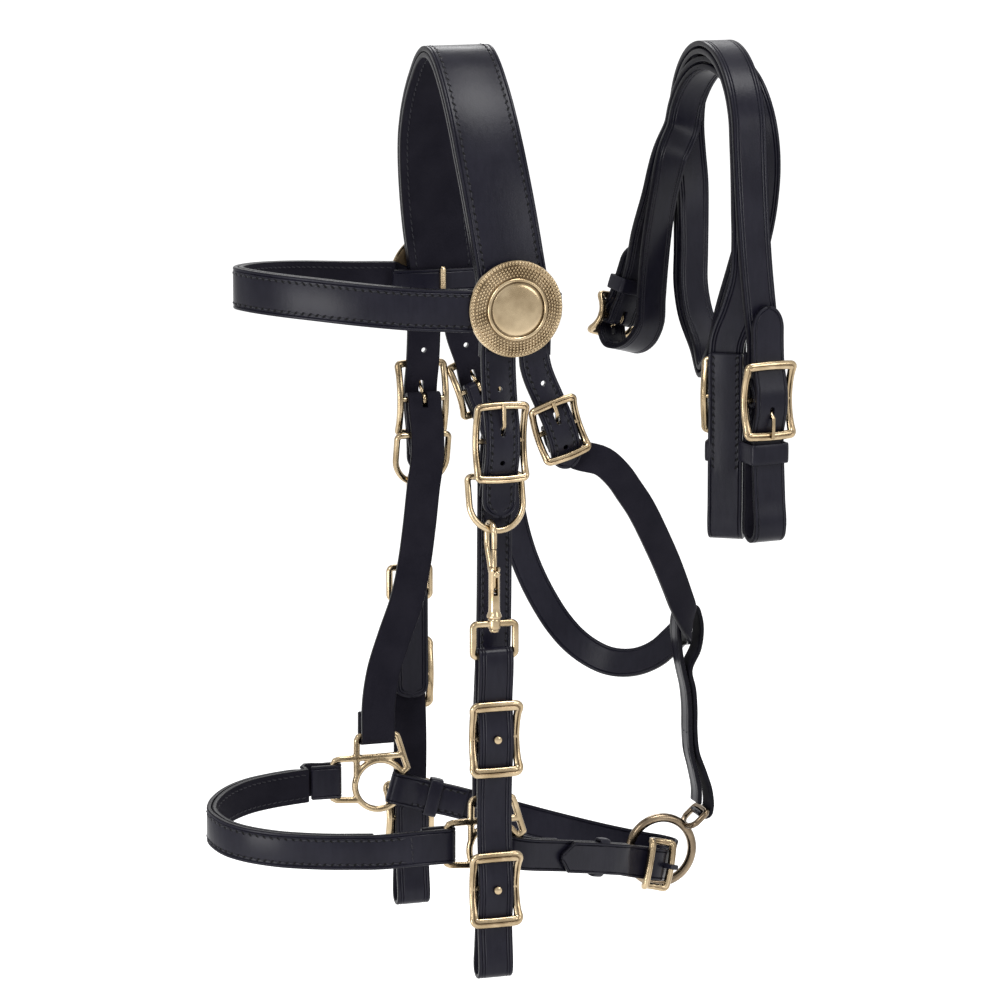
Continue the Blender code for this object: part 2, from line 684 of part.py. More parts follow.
def nose_fittings():
    """Cast fittings: a ring, a slot above it for the cheek and a slot before it for the noseband."""
    for side, word in ((1, "near"), (-1, "far")):
        frame = fitting_frame(side)
        ring = [frame.at(0.0, RING_RADIUS * sin(2 * pi * i / 18), RING_RADIUS * cos(2 * pi * i / 18)) for i in range(18)]
        made = tube("nose_fitting_" + word, ring, WIRE, frame.out, closed=True)
        top = [(-0.0165, -0.0080), (-0.0130, -0.0190), (-0.0105, -SLOT_TOP + 0.002), (-0.0085, -SLOT_TOP),
               (0.0110, -SLOT_TOP), (0.0130, -SLOT_TOP + 0.002), (0.0130, -0.0040)]
        front = [(-0.0125, -SLOT_RISE), (SLOT_FRONT - 0.002, -SLOT_RISE), (SLOT_FRONT, -SLOT_RISE + 0.002),
                 (SLOT_FRONT + 0.0008, -SLOT_LOW - 0.002), (SLOT_FRONT - 0.0014, -SLOT_LOW), (0.0115, -SLOT_LOW + 0.001)]
        join = [(-0.0168, -0.0092), (-0.0120, -0.0040)]
        for label, line in (("top", top), ("front", front), ("arm", join)):
            placed = [frame.at(0.0, a, -f) for f, a in line]
            part = tube(f"fitting_{label}_{word}", placed, WIRE * 0.97, frame.out)
            combine(made, part, "UNION")


def nose_knots():
    """Noseband from the far fitting round the nose to the near fitting."""
    near = fitting_frame(1)
    far = fitting_frame(-1)
    middle = -(SLOT_RISE + SLOT_LOW) / 2
    start = far.at(0.0, middle, -SLOT_FRONT)
    end = near.at(0.0, middle, -SLOT_FRONT)
    plan = ((-0.0560, -0.0700, -0.4045), (-0.0490, -0.0900, -0.4040), (-0.0350, -0.1130, -0.4035),
            (-0.0180, -0.1300, -0.4050), (0.0000, -0.1385, -0.4080), (0.0160, -0.1340, -0.4110),
            (0.0330, -0.1180, -0.4130), (0.0460, -0.0930, -0.4140), (0.0540, -0.0640, -0.4145))
    knots = [Station(start, vec(0, 0, 1), STRAP_WIDTH, BAND)]
    knots += [Station(vec(*p), vec(0, 0, 1), STRAP_WIDTH, BAND) for p in plan]
    knots.append(Station(end, vec(0, 0, 1), STRAP_WIDTH, BAND))
    return knots


def noseband():
    """Two stitched layers; the lining turns round each front slot bar and back inside."""
    knots = nose_knots()
    lift = (BAND + CLEARANCE) / 2
    body = squared(flow(knots[1:-1], 0.010), vec(0, 0, 1))
    outer_line = lifted(body, lift)
    inner_line = lifted(body, -lift)
    fold = WIRE + CLEARANCE + BAND / 2

    def turn(side, inside):
        bar = knots[-1].point if side > 0 else knots[0].point
        sign = -1 if inside else 1
        start = bar + vec(side * sign * fold, -0.016, 0)
        made = [Station(start, vec(0, 0, 1), STRAP_WIDTH, BAND)]
        made.append(replace(made[0], point=bar + vec(side * sign * fold, -0.005, 0)))
        return made

    def wrap(side):
        bar = knots[-1].point if side > 0 else knots[0].point
        points = [bar + vec(side * fold * cos(radians(a)), fold * sin(radians(a)), 0) for a in range(0, 181, 30)]
        points += [bar + vec(-side * fold, -0.005, 0), bar + vec(-side * (fold - 0.0004), -0.0135, 0)]
        return [Station(p, vec(0, 0, 1), STRAP_WIDTH, BAND) for p in points]

    outer = list(reversed(wrap(-1))) + list(reversed(turn(-1, False))) + outer_line + turn(1, False) + wrap(1)
    ribbon("noseband_outer", outer)
    ribbon("noseband_lining", inner_line)


def snap_place(side):
    """Frame at the eye of the snap's hook; the D-ring's wire hangs in it."""
    dee = dee_place(side)
    bend = DEE_WIDTH / 2 - WIRE
    aside = SNAP_BACK - DEE_BACK
    rise = bend - sqrt(bend ** 2 - aside ** 2)
    low = dee.at(0.0, DEE_HEIGHT - 2 * WIRE - rise, aside)
    slope = abs(aside) / bend
    drop = EYE_INSIDE - WIRE - CLEARANCE - HOOK_WIRE * slope * 1.2
    return Frame(low - vec(0, 0, drop), vec(side, 0, 0), vec(0, 0, -1), vec(0, 1, 0))


def bolt_snaps():
    """Hook with its slotted barrel and swivel pin, the bolt with its knob, and the spring under it."""
    turn = EYE_INSIDE + HOOK_WIRE
    top = BARREL_BELOW_EYE
    for side, word in ((1, "near"), (-1, "far")):
        frame = snap_place(side)
        axis = Frame(frame.at(turn, top), frame.out, frame.along, frame.across)
        tip = 0.0068
        line = [(turn - BARREL_RADIUS - 0.0006, top + 0.0062), (turn - BARREL_RADIUS - 0.0026, top + 0.0020),
                (-turn + 0.0032, top - 0.0040), (-turn + 0.0008, top - 0.0085), (-turn, top - 0.0130)]
        line += arc((0.0, 0.0), turn, -180, 0, 9)
        line.append((turn, tip * 0.6))
        line.append((turn, tip))
        radii = [HOOK_WIRE] * (len(line) - 2) + [HOOK_WIRE * 0.95, HOOK_WIRE * 0.8]
        hook = tube("snap_hook_" + word, [frame.at(o, a) for o, a in line], radii, frame.across)
        length = BARREL_LENGTH
        profile = [(0.0, length - 0.0016), (BORE_RADIUS, length - 0.0016), (BORE_RADIUS, 0.0), (BARREL_RADIUS * 0.86, 0.0),
                   (BARREL_RADIUS, 0.0010), (BARREL_RADIUS, length * 0.86), (BARREL_FLARE, length * 0.94),
                   (BARREL_FLARE, length), (SWIVEL_PIN, length), (SWIVEL_PIN, length + 0.0062),
                   (SWIVEL_PIN * 1.75, length + 0.0062), (SWIVEL_PIN * 1.6, length + 0.0074), (0.0, length + 0.0077)]
        body = lathe("snap_body_" + word, axis.origin, axis.along, profile, 10)
        slot = block("snap_slot_" + word, axis, (BORE_RADIUS * 0.4, -0.002, -SLOT_WIDTH / 2),
                     (BARREL_RADIUS + 0.002, SLOT_LENGTH, SLOT_WIDTH / 2))
        combine(body, slot, "DIFFERENCE")
        combine(body, hook, "UNION")

        start = tip + CLEARANCE - top
        rod = [(0.0, start), (BOLT_RADIUS * 0.7, start), (BOLT_RADIUS, start + 0.0006),
               (BOLT_RADIUS, start + BOLT_LENGTH), (0.0, start + BOLT_LENGTH)]
        bolt = lathe("snap_bolt_" + word, axis.origin, axis.along, rod, 10)
        neck = SLOT_WIDTH / 2 - 2 * CLEARANCE
        knob = [(0.0, 0.0), (neck, 0.0), (neck, BARREL_RADIUS + CLEARANCE), (0.0017, BARREL_RADIUS + CLEARANCE),
                (0.0017, KNOB_REACH - 0.0004), (0.0012, KNOB_REACH), (0.0, KNOB_REACH)]
        thumb = lathe("snap_knob_" + word, axis.at(0.0, KNOB_BELOW_TOP), axis.out, knob, 10)
        combine(bolt, thumb, "UNION")

        first = start + BOLT_LENGTH + CLEARANCE + SPRING_WIRE
        last = length - 0.0016 - CLEARANCE - SPRING_WIRE
        radius = BORE_RADIUS - SPRING_WIRE - CLEARANCE
        count = SPRING_TURNS * 6
        coil = []
        for index in range(count + 1):
            angle = 2 * pi * index / 6
            coil.append(axis.at(radius * cos(angle), first + (last - first) * index / count, radius * sin(angle)))
        tube("snap_spring_" + word, coil, SPRING_WIRE, axis.along, sides=3, finish=STEEL)


def swivel_place(side):
    """Frame at the middle of the swivel loop's top bar."""
    snap = snap_place(side)
    turn = EYE_INSIDE + HOOK_WIRE
    drop = BARREL_BELOW_EYE + BARREL_LENGTH + CLEARANCE + 0.0028
    return Frame(snap.at(turn, drop), snap.out, snap.along, snap.across)


def swivels():
    """Square loops that turn on the snap's pin."""
    for side, word in ((1, "near"), (-1, "far")):
        frame = swivel_place(side)
        half = SWIVEL_WIDTH / 2 - WIRE
        deep = SWIVEL_HEIGHT - 2 * WIRE
        corner = 0.0019
        points = []
        for centre_c, centre_a, start in ((half - corner, deep - corner, 0), (-half + corner, deep - corner, 90),
                                          (-half + corner, corner, 180), (half - corner, corner, 270)):
            for part in range(4):
                angle = radians(start + 30 * part)
                points.append(frame.at(0.0, centre_a + corner * sin(angle), centre_c + corner * cos(angle)))
        made = tube("snap_swivel_" + word, points, WIRE, frame.out, closed=True)
        height = 0.0056 / 2
        boss = [(0.0, -height), (SWIVEL_BOSS * 0.9, -height), (SWIVEL_BOSS, -height * 0.6),
                (SWIVEL_BOSS, height * 0.6), (SWIVEL_BOSS * 0.9, height), (0.0, height)]
        combine(made, lathe("swivel_boss_" + word, frame.origin, frame.along, boss, 10), "UNION")
        pin = [frame.at(0.0, -0.006), frame.at(0.0, 0.006)]
        combine(made, tube("swivel_hole_" + word, pin, SWIVEL_PIN + 2 * CLEARANCE, frame.across, sides=10), "DIFFERENCE")


def hanger_frame(side):
    """Frame at the swivel loop's lower bar, where the bit hanger hangs."""
    swivel = swivel_place(side)
    return Frame(swivel.at(0.0, SWIVEL_HEIGHT - 2 * WIRE), swivel.out, swivel.along, swivel.across)


def conway_frame(side, drop):
    hanger = hanger_frame(side)
    return Frame(hanger.at(0.0, drop), hanger.out, hanger.along, hanger.across)


def hangers():
    """Bit hangers: a strap folded round the loop and round the bit, held by two conway buckles."""
    layer = HANGER_LAYER
    fold = WIRE + CLEARANCE + layer / 2
    dip = 0.0018
    half_high = CONWAY[1] / 2 - WIRE
    bow = fold - dip + layer / 2 + CLEARANCE + WIRE
    for side, word in ((1, "near"), (-1, "far")):
        frame = hanger_frame(side)
        section = [(-fold + 0.0002, UPPER_CONWAY_DROP + TAB), (-fold, UPPER_CONWAY_DROP), (-fold, 0.010), (-fold, 0.002)]
        section += arc((0.0, 0.0), fold, 180, 360, 6)
        run = [(fold, 0.0), (fold, 0.008)]
        for drop in (UPPER_CONWAY_DROP, LOWER_CONWAY_DROP):
            run += [(fold - dip, drop - half_high), (fold, drop - 0.006), (fold, drop + 0.006),
                    (fold - dip, drop + half_high)]
        bottom = BIT_LOOP_DROP - layer / 2 - BIT_LOOP_RADIUS
        centre = fold - BIT_LOOP_RADIUS - 0.0004
        run += [(fold - 0.0004, bottom - 0.006)]
        knots = in_frame(frame, run, STRAP_WIDTH, layer)
        loop = arc((centre, bottom), BIT_LOOP_RADIUS, 0, 180, 6)
        back = [(centre - BIT_LOOP_RADIUS, bottom), (-fold - 0.0018, bottom - 0.010), (-fold, LOWER_CONWAY_DROP + 0.016),
                (-fold, LOWER_CONWAY_DROP), (-fold + 0.0002, LOWER_CONWAY_DROP - TAB)]
        stations = in_frame(frame, section, STRAP_WIDTH, layer)[:-1] + flow(knots, 0.0065)
        stations += in_frame(frame, loop, STRAP_WIDTH, layer)
        stations += flow(in_frame(frame, back, STRAP_WIDTH, layer), 0.008)[1:]
        strap = ribbon("bit_hanger_" + word, tapered(tapered(stations, 0.006), 0.006, at_start=True))
        for level, drop in (("upper", UPPER_CONWAY_DROP), ("lower", LOWER_CONWAY_DROP)):
            place = conway_frame(side, drop)
            room = STUD_RADIUS + 2 * CLEARANCE
            punch(f"stud_hole_{level}_{word}", place, strap, 0.0, room, room, 0.0, 0.010)
            made = buckle_frame(f"conway_{level}_{word}", place, CONWAY, bow, 0.0036)
            reach = fold + layer / 2 + STUD_REACH
            stud = [(0.0, 0.0), (STUD_RADIUS, 0.0), (STUD_RADIUS, reach - 0.0018), (STUD_RADIUS + 0.0005, reach - 0.0010),
                    (STUD_RADIUS * 0.9, reach), (0.0, reach)]
            combine(made, lathe(f"stud_{level}_{word}", place.origin, place.out, stud, 8), "UNION")


def buckles():
    """Cheek and throat buckles with their tongues."""
    for side, word in ((1, "near"), (-1, "far")):
        buckle_frame("cheek_buckle_" + word, cheek_frame(side), CHEEK_BUCKLE)
        tongue("cheek_tongue_" + word, cheek_frame(side), CHEEK_BUCKLE)
        buckle_frame("throat_buckle_" + word, throat_frame(side), THROAT_BUCKLE)
        tongue("throat_tongue_" + word, throat_frame(side), THROAT_BUCKLE)


def fold_section(turn):
    """A strap's end folded round a middle bar, from its cut end outside to the layer inside."""
    end = -0.0044 + CHAPE + 2 * CLEARANCE
    section = [(end, 0.0115), (-0.0006, 0.0088), (turn - 0.0009, 0.0048), (turn, 0.0015)]
    section += arc((0.0, 0.0), turn, 0, -180, 6)
    section += [(-turn, 0.0015), (-0.0038, 0.0060), (-0.0044, 0.0140)]
    return section


def throat_strap():
    """One strap from buckle to buckle, down round the throat and through the jaw strap's loop."""
    turn = BAR + CLEARANCE + CHAPE / 2

    def end(side):
        frame = throat_frame(side)
        section = fold_section(turn)
        return in_frame(frame, section, THROAT_WIDTH, CHAPE)

    thick = LAYER * 0.9
    near = [((0.0638, 0.0440, -0.2035), (0, 0.80, 0.55)), ((0.0650, 0.0600, -0.2090), (0, 0.50, 0.85)),
            ((0.0590, 0.0770, -0.2270), (0, 0.75, 0.62)), ((0.0420, 0.1000, -0.2610), (0, 0.82, 0.55)),
            ((0.0220, 0.1200, -0.2960), (0, 0.60, 0.80)), ((0.0085, 0.1308, -0.3160), (0, 0.06, 0.99))]
    bend = [((0.0000, JAW_TOP[0], JAW_TOP[1]), (0, 0.0, 1.0))]
    far = [((-0.0085, 0.1312, -0.3220), (0, 0.06, 0.99)), ((-0.0200, 0.1230, -0.3350), (0, 0.35, 0.90)),
           ((-0.0310, 0.1120, -0.3425), (0, 0.50, 0.86)),
           ((-0.0430, 0.1000, -0.3430), (0, 0.50, 0.86)), ((-0.0550, 0.0850, -0.3330), (0, 0.72, 0.70)),
           ((-0.0640, 0.0710, -0.3120), (0, 0.90, 0.42)), ((-0.0690, 0.0600, -0.2860), (0, 0.94, 0.34)),
           ((-0.0690, 0.0500, -0.2460), (0, 0.95, 0.31)), ((-0.0638, 0.0400, -0.2080), (0, 0.95, 0.31))]
    middle = [Station(vec(*p), vec(*a), THROAT_WIDTH, thick) for p, a in near + bend + far]
    first = end(1)[:-1]
    last = list(reversed(end(-1)))[1:]
    stations = first[:-1] + flow([first[-1]] + middle + [last[0]], 0.0125) + last[1:]
    strap = ribbon("throat_strap", stations)
    bar_slot("throat_slot_near", throat_frame(1), strap)
    bar_slot("throat_slot_far", throat_frame(-1), strap)


def eye_frame():
    """Frame at the chin ring's eye: along points up out of the ring, across is the horse's side."""
    direction = vec(0, cos(EYE_TURN), sin(EYE_TURN))
    centre = vec(0, CHIN_RING_CENTRE[0], CHIN_RING_CENTRE[1])
    start = centre + direction * (CHIN_RING_RADIUS + 0.0012)
    return Frame(start, vec(0, -sin(EYE_TURN), cos(EYE_TURN)), direction, vec(1, 0, 0))


def chin_ring():
    """Ring that the chin strap runs through, with an eye for the jaw strap set square to it."""
    centre = vec(0, CHIN_RING_CENTRE[0], CHIN_RING_CENTRE[1])
    ring = []
    for index in range(20):
        angle = 2 * pi * index / 20
        ring.append(centre + vec(0, cos(angle), sin(angle)) * CHIN_RING_RADIUS)
    made = tube("chin_ring", ring, CHIN_RING_WIRE, vec(1, 0, 0), closed=True)
    frame = eye_frame()
    half = EYE_WIDTH / 2 - WIRE
    corner = 0.0021
    points = [frame.at(0.0, 0.0, 0.0), frame.at(0.0, 0.0008, half * 0.55), frame.at(0.0, 0.0040, half)]
    for start, sign in ((0, 1), (90, -1)):
        for part in range(4):
            angle = radians(start + 30 * part)
            points.append(frame.at(0.0, EYE_LENGTH - corner + corner * sin(angle),
                                   sign * (half - corner) + corner * cos(angle)))
    points += [frame.at(0.0, 0.0040, -half), frame.at(0.0, 0.0008, -half * 0.55)]
    combine(made, tube("chin_eye", points, WIRE, frame.out, closed=True), "UNION")


def jaw_strap():
    """Doubled strap: round the throat strap at its top and through the chin ring's eye."""
    thick = LAYER * 0.8
    frame = eye_frame()
    bar = frame.at(0.0, EYE_LENGTH)
    apart = thick / 2 + CLEARANCE / 2
    fold = WIRE + 2 * CLEARANCE + thick / 2
    top_y, top_z = JAW_TOP
    wide = 0.0056
    rise = 0.0158
    front = [(bar.y - fold, bar.z + 0.0040), (bar.y - fold * 0.9 - 0.0002, bar.z + 0.0100),
             (top_y + 0.0028 - apart, bar.z + 0.034), (top_y + 0.0004 - apart, top_z - 0.032),
             (top_y - 0.0020 - apart, top_z - rise - 0.0060), (top_y - wide, top_z - rise * 0.6),
             (top_y - wide, top_z + rise * 0.6)]
    crest = [(top_y + wide * cos(radians(a)), top_z + rise * 0.6 + wide * sin(radians(a))) for a in (135, 90, 45)]
    back = [(top_y + wide, top_z + rise * 0.6), (top_y + wide, top_z - rise * 0.6),
            (top_y - 0.0010 + apart, top_z - rise - 0.0060), (top_y + 0.0012 + apart, top_z - 0.032),
            (top_y + 0.0036 + apart, bar.z + 0.034), (bar.y + fold * 0.9, bar.z + 0.0100),
            (bar.y + fold, bar.z)]
    low = [(bar.y + fold * cos(radians(a)), bar.z + fold * sin(radians(a))) for a in (-30, -60, -90, -120, -150, -180)]
    knots = [Station(vec(0, y, z), vec(1, 0, 0), JAW_WIDTH, thick) for y, z in front + crest + back]
    bottom = [Station(vec(0, y, z), vec(1, 0, 0), JAW_WIDTH, thick) for y, z in low]
    ribbon("jaw_strap", flow(knots, 0.013) + bottom)


def chin_frame():
    """Frame at the chin buckle's middle bar; along runs forward to the near fitting."""
    forward = (vec(0.0480, 0.0560, -0.4290) - vec(*CHIN_BAR)).normalized()
    across = (vec(0, 0, 1) - forward * forward.z).normalized()
    return Frame(vec(*CHIN_BAR), across.cross(forward), forward, across)


def ring_wrap(fitting, drop):
    """A chin strap folded round the back of a fitting's ring, from inside to outside, and its direction."""
    run = vec(0, cos(drop), -sin(drop))
    across = vec(0, sin(drop), cos(drop))
    fold = 0.0033
    section = [(fold * cos(radians(a)), 0.0104 - fold * sin(radians(a))) for a in range(180, -1, -30)]
    section = [(-fold, RING_RADIUS + 0.002)] + section + [(fold, RING_RADIUS + 0.002)]
    return [Station(fitting.origin + fitting.out * o + run * c, across, CHIN_WIDTH, CHAPE) for o, c in section]


def keeper(name, frame, low, high, half_across, width):
    """A leather loop round layered straps, between a low and a high distance out."""
    room = CLEARANCE * 1.5
    made = block(name, frame, (low - room - KEEPER_THICK, -width / 2, -half_across - room - KEEPER_THICK),
                 (high + room + KEEPER_THICK, width / 2, half_across + room + KEEPER_THICK))
    made.data.materials[0] = LEATHER
    inner = block(name + "_inside", frame, (low - room, -width, -half_across - room),
                  (high + room, width, half_across + room))
    return combine(made, inner, "DIFFERENCE")


def frame_on(stations, index):
    """Frame on a strap, with along on its tangent and out on its normal."""
    tangent, across, normal = section_axes(stations)[index]
    return Frame(stations[index].point, normal, tangent, across)


def chin_run(points, drop):
    """Stations of a chin strap through points, its flat side turned out."""
    across = vec(0, sin(drop), cos(drop))
    return [Station(vec(*p), across, CHIN_WIDTH, CHAPE) for p in points]


def chin_straps():
    """Far strap through the chin ring and round to the near side, and the near strap with the buckle."""
    frame = chin_frame()
    turn = BAR + CLEARANCE + CHAPE / 2
    step = CHAPE + 1.6 * CLEARANCE
    wrap = ring_wrap(fitting_frame(1), NEAR_CHIN_DROP)
    fold = in_frame(frame, fold_section(turn), CHIN_WIDTH, CHAPE)
    points = ((0.0582, 0.0250, -0.4228), (0.0550, 0.0330, -0.4245), (0.0490, 0.0465, -0.4275),
              (0.0395, 0.0675, -0.4325), (0.0310, 0.0835, -0.4370))
    knots = [wrap[-1]] + chin_run(points, NEAR_CHIN_DROP) + [fold[-1]]
    body = flow(knots, 0.010)
    under = [replace(s, normal=None) for s in lifted(body[1:4], -step)]
    strap = ribbon("chin_strap_near", list(reversed(under)) + wrap[:-1] + body + list(reversed(fold))[1:])
    bar_slot("chin_slot", frame, strap)
    buckle_frame("chin_buckle", frame, CHIN_BUCKLE, SMALL_BOW)
    tongue("chin_tongue", frame, CHIN_BUCKLE, SMALL_BOW)

    half_high = CHIN_BUCKLE[1] / 2 - WIRE
    over = BAR + CLEARANCE + CHAPE + CLEARANCE + CHAPE / 2
    low = SMALL_BOW - WIRE - 2 * CLEARANCE - CHAPE / 2
    section = [(low, -half_high), (over - 0.0004, -0.0038), (over, 0.0), (over - 0.0004, 0.0038), (low, half_high),
               (0.0014, 0.0150)]
    through = in_frame(frame, section, CHIN_WIDTH, CHAPE)
    route = ((-0.0575, -0.0060, -0.4145), (-0.0540, 0.0110, -0.4190), (-0.0440, 0.0385, -0.4265),
             (-0.0300, 0.0690, -0.4345), (-0.0160, 0.0960, -0.4405), (-0.0085, 0.1120, -0.4435),
             (-0.0040, 0.1205, -0.4448), (0.0010, 0.1238, -0.4454), (0.0062, 0.1222, -0.4460))
    wrap = ring_wrap(fitting_frame(-1), FAR_CHIN_DROP)
    run = chin_run(route, FAR_CHIN_DROP)
    along = flow([wrap[-1]] + run + through[:1], 0.0110)
    under = [replace(s, normal=None) for s in lifted(along[1:5], step)]
    tip = [replace(s, normal=None) for s in lifted(body, step)]
    tip = [s for s in reversed(tip) if CHIN_BILLET[0] < (s.point - frame.origin).length < CHIN_BILLET[1]]
    finish = squared(flow(through + tip[:1], 0.0032), frame.across)
    stations = list(reversed(under)) + wrap[:-1] + along[:-1] + finish[:-1] + tip
    strap = ribbon("chin_strap_far", tapered(stations, 0.012))
    tongue_holes("chin_hole", frame, strap, -1, (0.0300,))

    index = min(range(len(body)), key=lambda i: abs(body[i].point.y - 0.0675))
    place = frame_on(body, index)
    keeper("chin_keeper_near", place, -CHAPE / 2, step + CHAPE / 2, CHIN_WIDTH / 2, 0.0072)
    index = min(range(len(along)), key=lambda i: abs(along[i].point.y - 0.0060))
    place = frame_on(along, index)
    keeper("chin_keeper_far", place, -CHAPE / 2, step + CHAPE / 2, CHIN_WIDTH / 2, 0.0072)


def rein_stations(knots, across=REIN_ACROSS):
    """Stations of a rein through points."""
    return [Station(vec(*p), across, REIN_WIDTH, LAYER) for p in knots]


def rein_arch(radius, front, back):
    """Knots over the top of the hanging bundle, from its front leg to its back leg."""
    made = []
    for angle in range(0, 181, 15):
        share = angle / 180
        made.append((radius * cos(radians(angle)), front + (back - front) * share,
                     REIN_TOP - REIN_ARCH + radius * sin(radians(angle))))
    return rein_stations(made, vec(0, 1, 0))


def rein_end_section(turn, length):
    """The rein's end folded round a middle bar, from the layer above to the cut end outside."""
    end = -0.0043 + CHAPE + 2 * CLEARANCE
    section = [(-0.0045, -length), (-0.0043, -0.0120), (-turn, -0.0030)]
    section += arc((0.0, 0.0), turn, 180, 0, 6)
    section += [(turn - 0.0009, -0.0048), (-0.0006, -0.0088), (end, -0.0115)]
    return section


def rein_frames():
    """Frames at the middle bars of the three rein buckles; along runs down."""
    down = vec(0, 0, -1)
    turned = vec(-sin(REIN_TWIST), cos(REIN_TWIST), 0)
    lean = vec(-0.05, -0.28, -0.96).normalized()
    wide = (REIN_FAR - lean * REIN_FAR.dot(lean)).normalized()
    return {"near": Frame(vec(0.0515, 0.1575, -REIN_BUCKLE_DROP), down.cross(REIN_ACROSS), down, REIN_ACROSS),
            "far": Frame(vec(0.0262, 0.1452, -REIN_BUCKLE_DROP - 0.002), turned.cross(down), down, turned),
            "centre": Frame(vec(-0.0600, 0.1128, -0.1530), wide.cross(lean), lean, wide)}


def reins():
    """Two reins hung in a bundle, their bit ends with buckles, and the centre buckle that joins them."""
    step = LAYER + 4 * CLEARANCE
    turn = BAR + CLEARANCE + CHAPE / 2
    frames = rein_frames()
    near, far, centre = frames["near"], frames["far"], frames["centre"]
    fall = [(-0.0400, 0.1463, -0.1138), (-0.0345, 0.1443, -0.1319)]
    bend = [(-0.0140, 0.1472, -0.1646), (-0.0020, 0.1475, -0.1771), (0.0118, 0.1485, -0.1640),
            (0.0170, 0.1520, -0.1400), (0.0240, 0.1560, -0.1165), (0.0325, 0.1590, -0.0913)]
    knots = rein_arch(REIN_ARCH, 0.1475, 0.1465) + rein_stations([(-0.0480, 0.1490, -0.0760)])
    knots += rein_stations(fall, REIN_FAR) + rein_stations([(-0.0270, 0.1443, -0.1464)], vec(-0.22, 0.976, 0.0))
    knots += rein_stations(bend)
    bundle = flow(knots + rein_arch(REIN_ARCH - 2 * step, 0.1579, 0.1411), 0.0170)
    nested = [replace(s, normal=None) for s in lifted(bundle, step)]

    for word, frame, body in (("near", near, bundle), ("far", far, nested)):
        end = in_frame(frame, rein_end_section(turn, 0.030), REIN_WIDTH, CHAPE)
        end.reverse()
        end[-1] = replace(end[-1], thick=LAYER)
        end[-2] = replace(end[-2], thick=LAYER * 0.9)
        if body is bundle:
            leg = rein_stations([(0.0480, 0.1518, -0.1100)])
            tail = rein_stations([(-0.0362, 0.1325, -0.0593)])
            tail += rein_stations([(-0.0385, 0.1266, -0.0815), (-0.0475, 0.1240, -0.1030)], REIN_FAR)
            last = in_frame(centre, rein_end_section(turn, 0.030), REIN_WIDTH, CHAPE)
            last[0] = replace(last[0], thick=LAYER * 0.9)
            stations = end[:-1] + flow([end[-1]] + leg + body + tail + [last[0]], 0.0170) + last[1:]
            strap = ribbon("rein_near", stations)
            bar_slot("rein_centre_slot", centre, strap)
        else:
            leg = rein_stations([(0.0385, 0.1506, -0.1200)], vec(0.30, 0.954, 0.0))
            leg += rein_stations([(0.0436, 0.1485, -0.0800)])
            drop = rein_stations([(-0.0300, 0.1330, -0.0587)])
            low_drop = [(-0.0320, 0.1290, -0.0781), (-0.0400, 0.1268, -0.1113), (-0.0430, 0.1255, -0.1406)]
            drop += rein_stations(low_drop, REIN_FAR)
            sweep = ((-0.0206, -0.0020, 0.0050), (-0.0190, 0.0060, 0.0046), (-0.0145, 0.0120, 0.0036),
                     (-0.0080, 0.0150, 0.0022), (-0.0022, 0.0142, 0.0010))
            bottom = [Station(centre.at(*p), centre.across, REIN_WIDTH, LAYER) for p in sweep]
            low = SMALL_BOW - WIRE - 2 * CLEARANCE - LAYER / 2
            section = [(low - 0.0008, CENTRE_BUCKLE[1] / 2 - WIRE)]
            over = BAR + CLEARANCE + CHAPE + CLEARANCE + LAYER / 2
            section += [(over - 0.0004, 0.0042), (over, 0.0), (over - 0.0004, -0.0042),
                        (low, -CENTRE_BUCKLE[1] / 2 + WIRE), (0.0014, -0.0200), (0.0012, -0.0420)]
            tail = in_frame(centre, section, REIN_WIDTH, LAYER)
            stations = end[:-1] + flow([end[-1]] + leg + body + drop + bottom + tail[:1], 0.0170)
            stations += flow(tail[:6], 0.0032)[1:] + tail[6:]
            strap = ribbon("rein_far", tapered(stations, 0.010))
            tongue_holes("rein_centre_hole", centre, strap, 1, (-0.0270,))
        bar_slot("rein_slot_" + word, frame, strap)
        rein_billet(word, frame)
        buckle_frame("rein_buckle_" + word, frame, REIN_BUCKLE)
        tongue("rein_tongue_" + word, frame, REIN_BUCKLE, up=1.0)
        place = Frame(frame.at(0.0, 0.0290), frame.out, frame.along, frame.across)
        keeper("rein_keeper_" + word, place, -0.0086, 0.0042, REIN_WIDTH / 2, 0.0110)
    buckle_frame("rein_centre_buckle", centre, CENTRE_BUCKLE, SMALL_BOW)
    tongue("rein_centre_tongue", centre, CENTRE_BUCKLE, SMALL_BOW, up=1.0)
    place = Frame(centre.at(0.0, -0.0190), centre.out, centre.along, centre.across)
    keeper("rein_centre_keeper", place, -0.0061, 0.0035, REIN_WIDTH / 2, 0.0080)


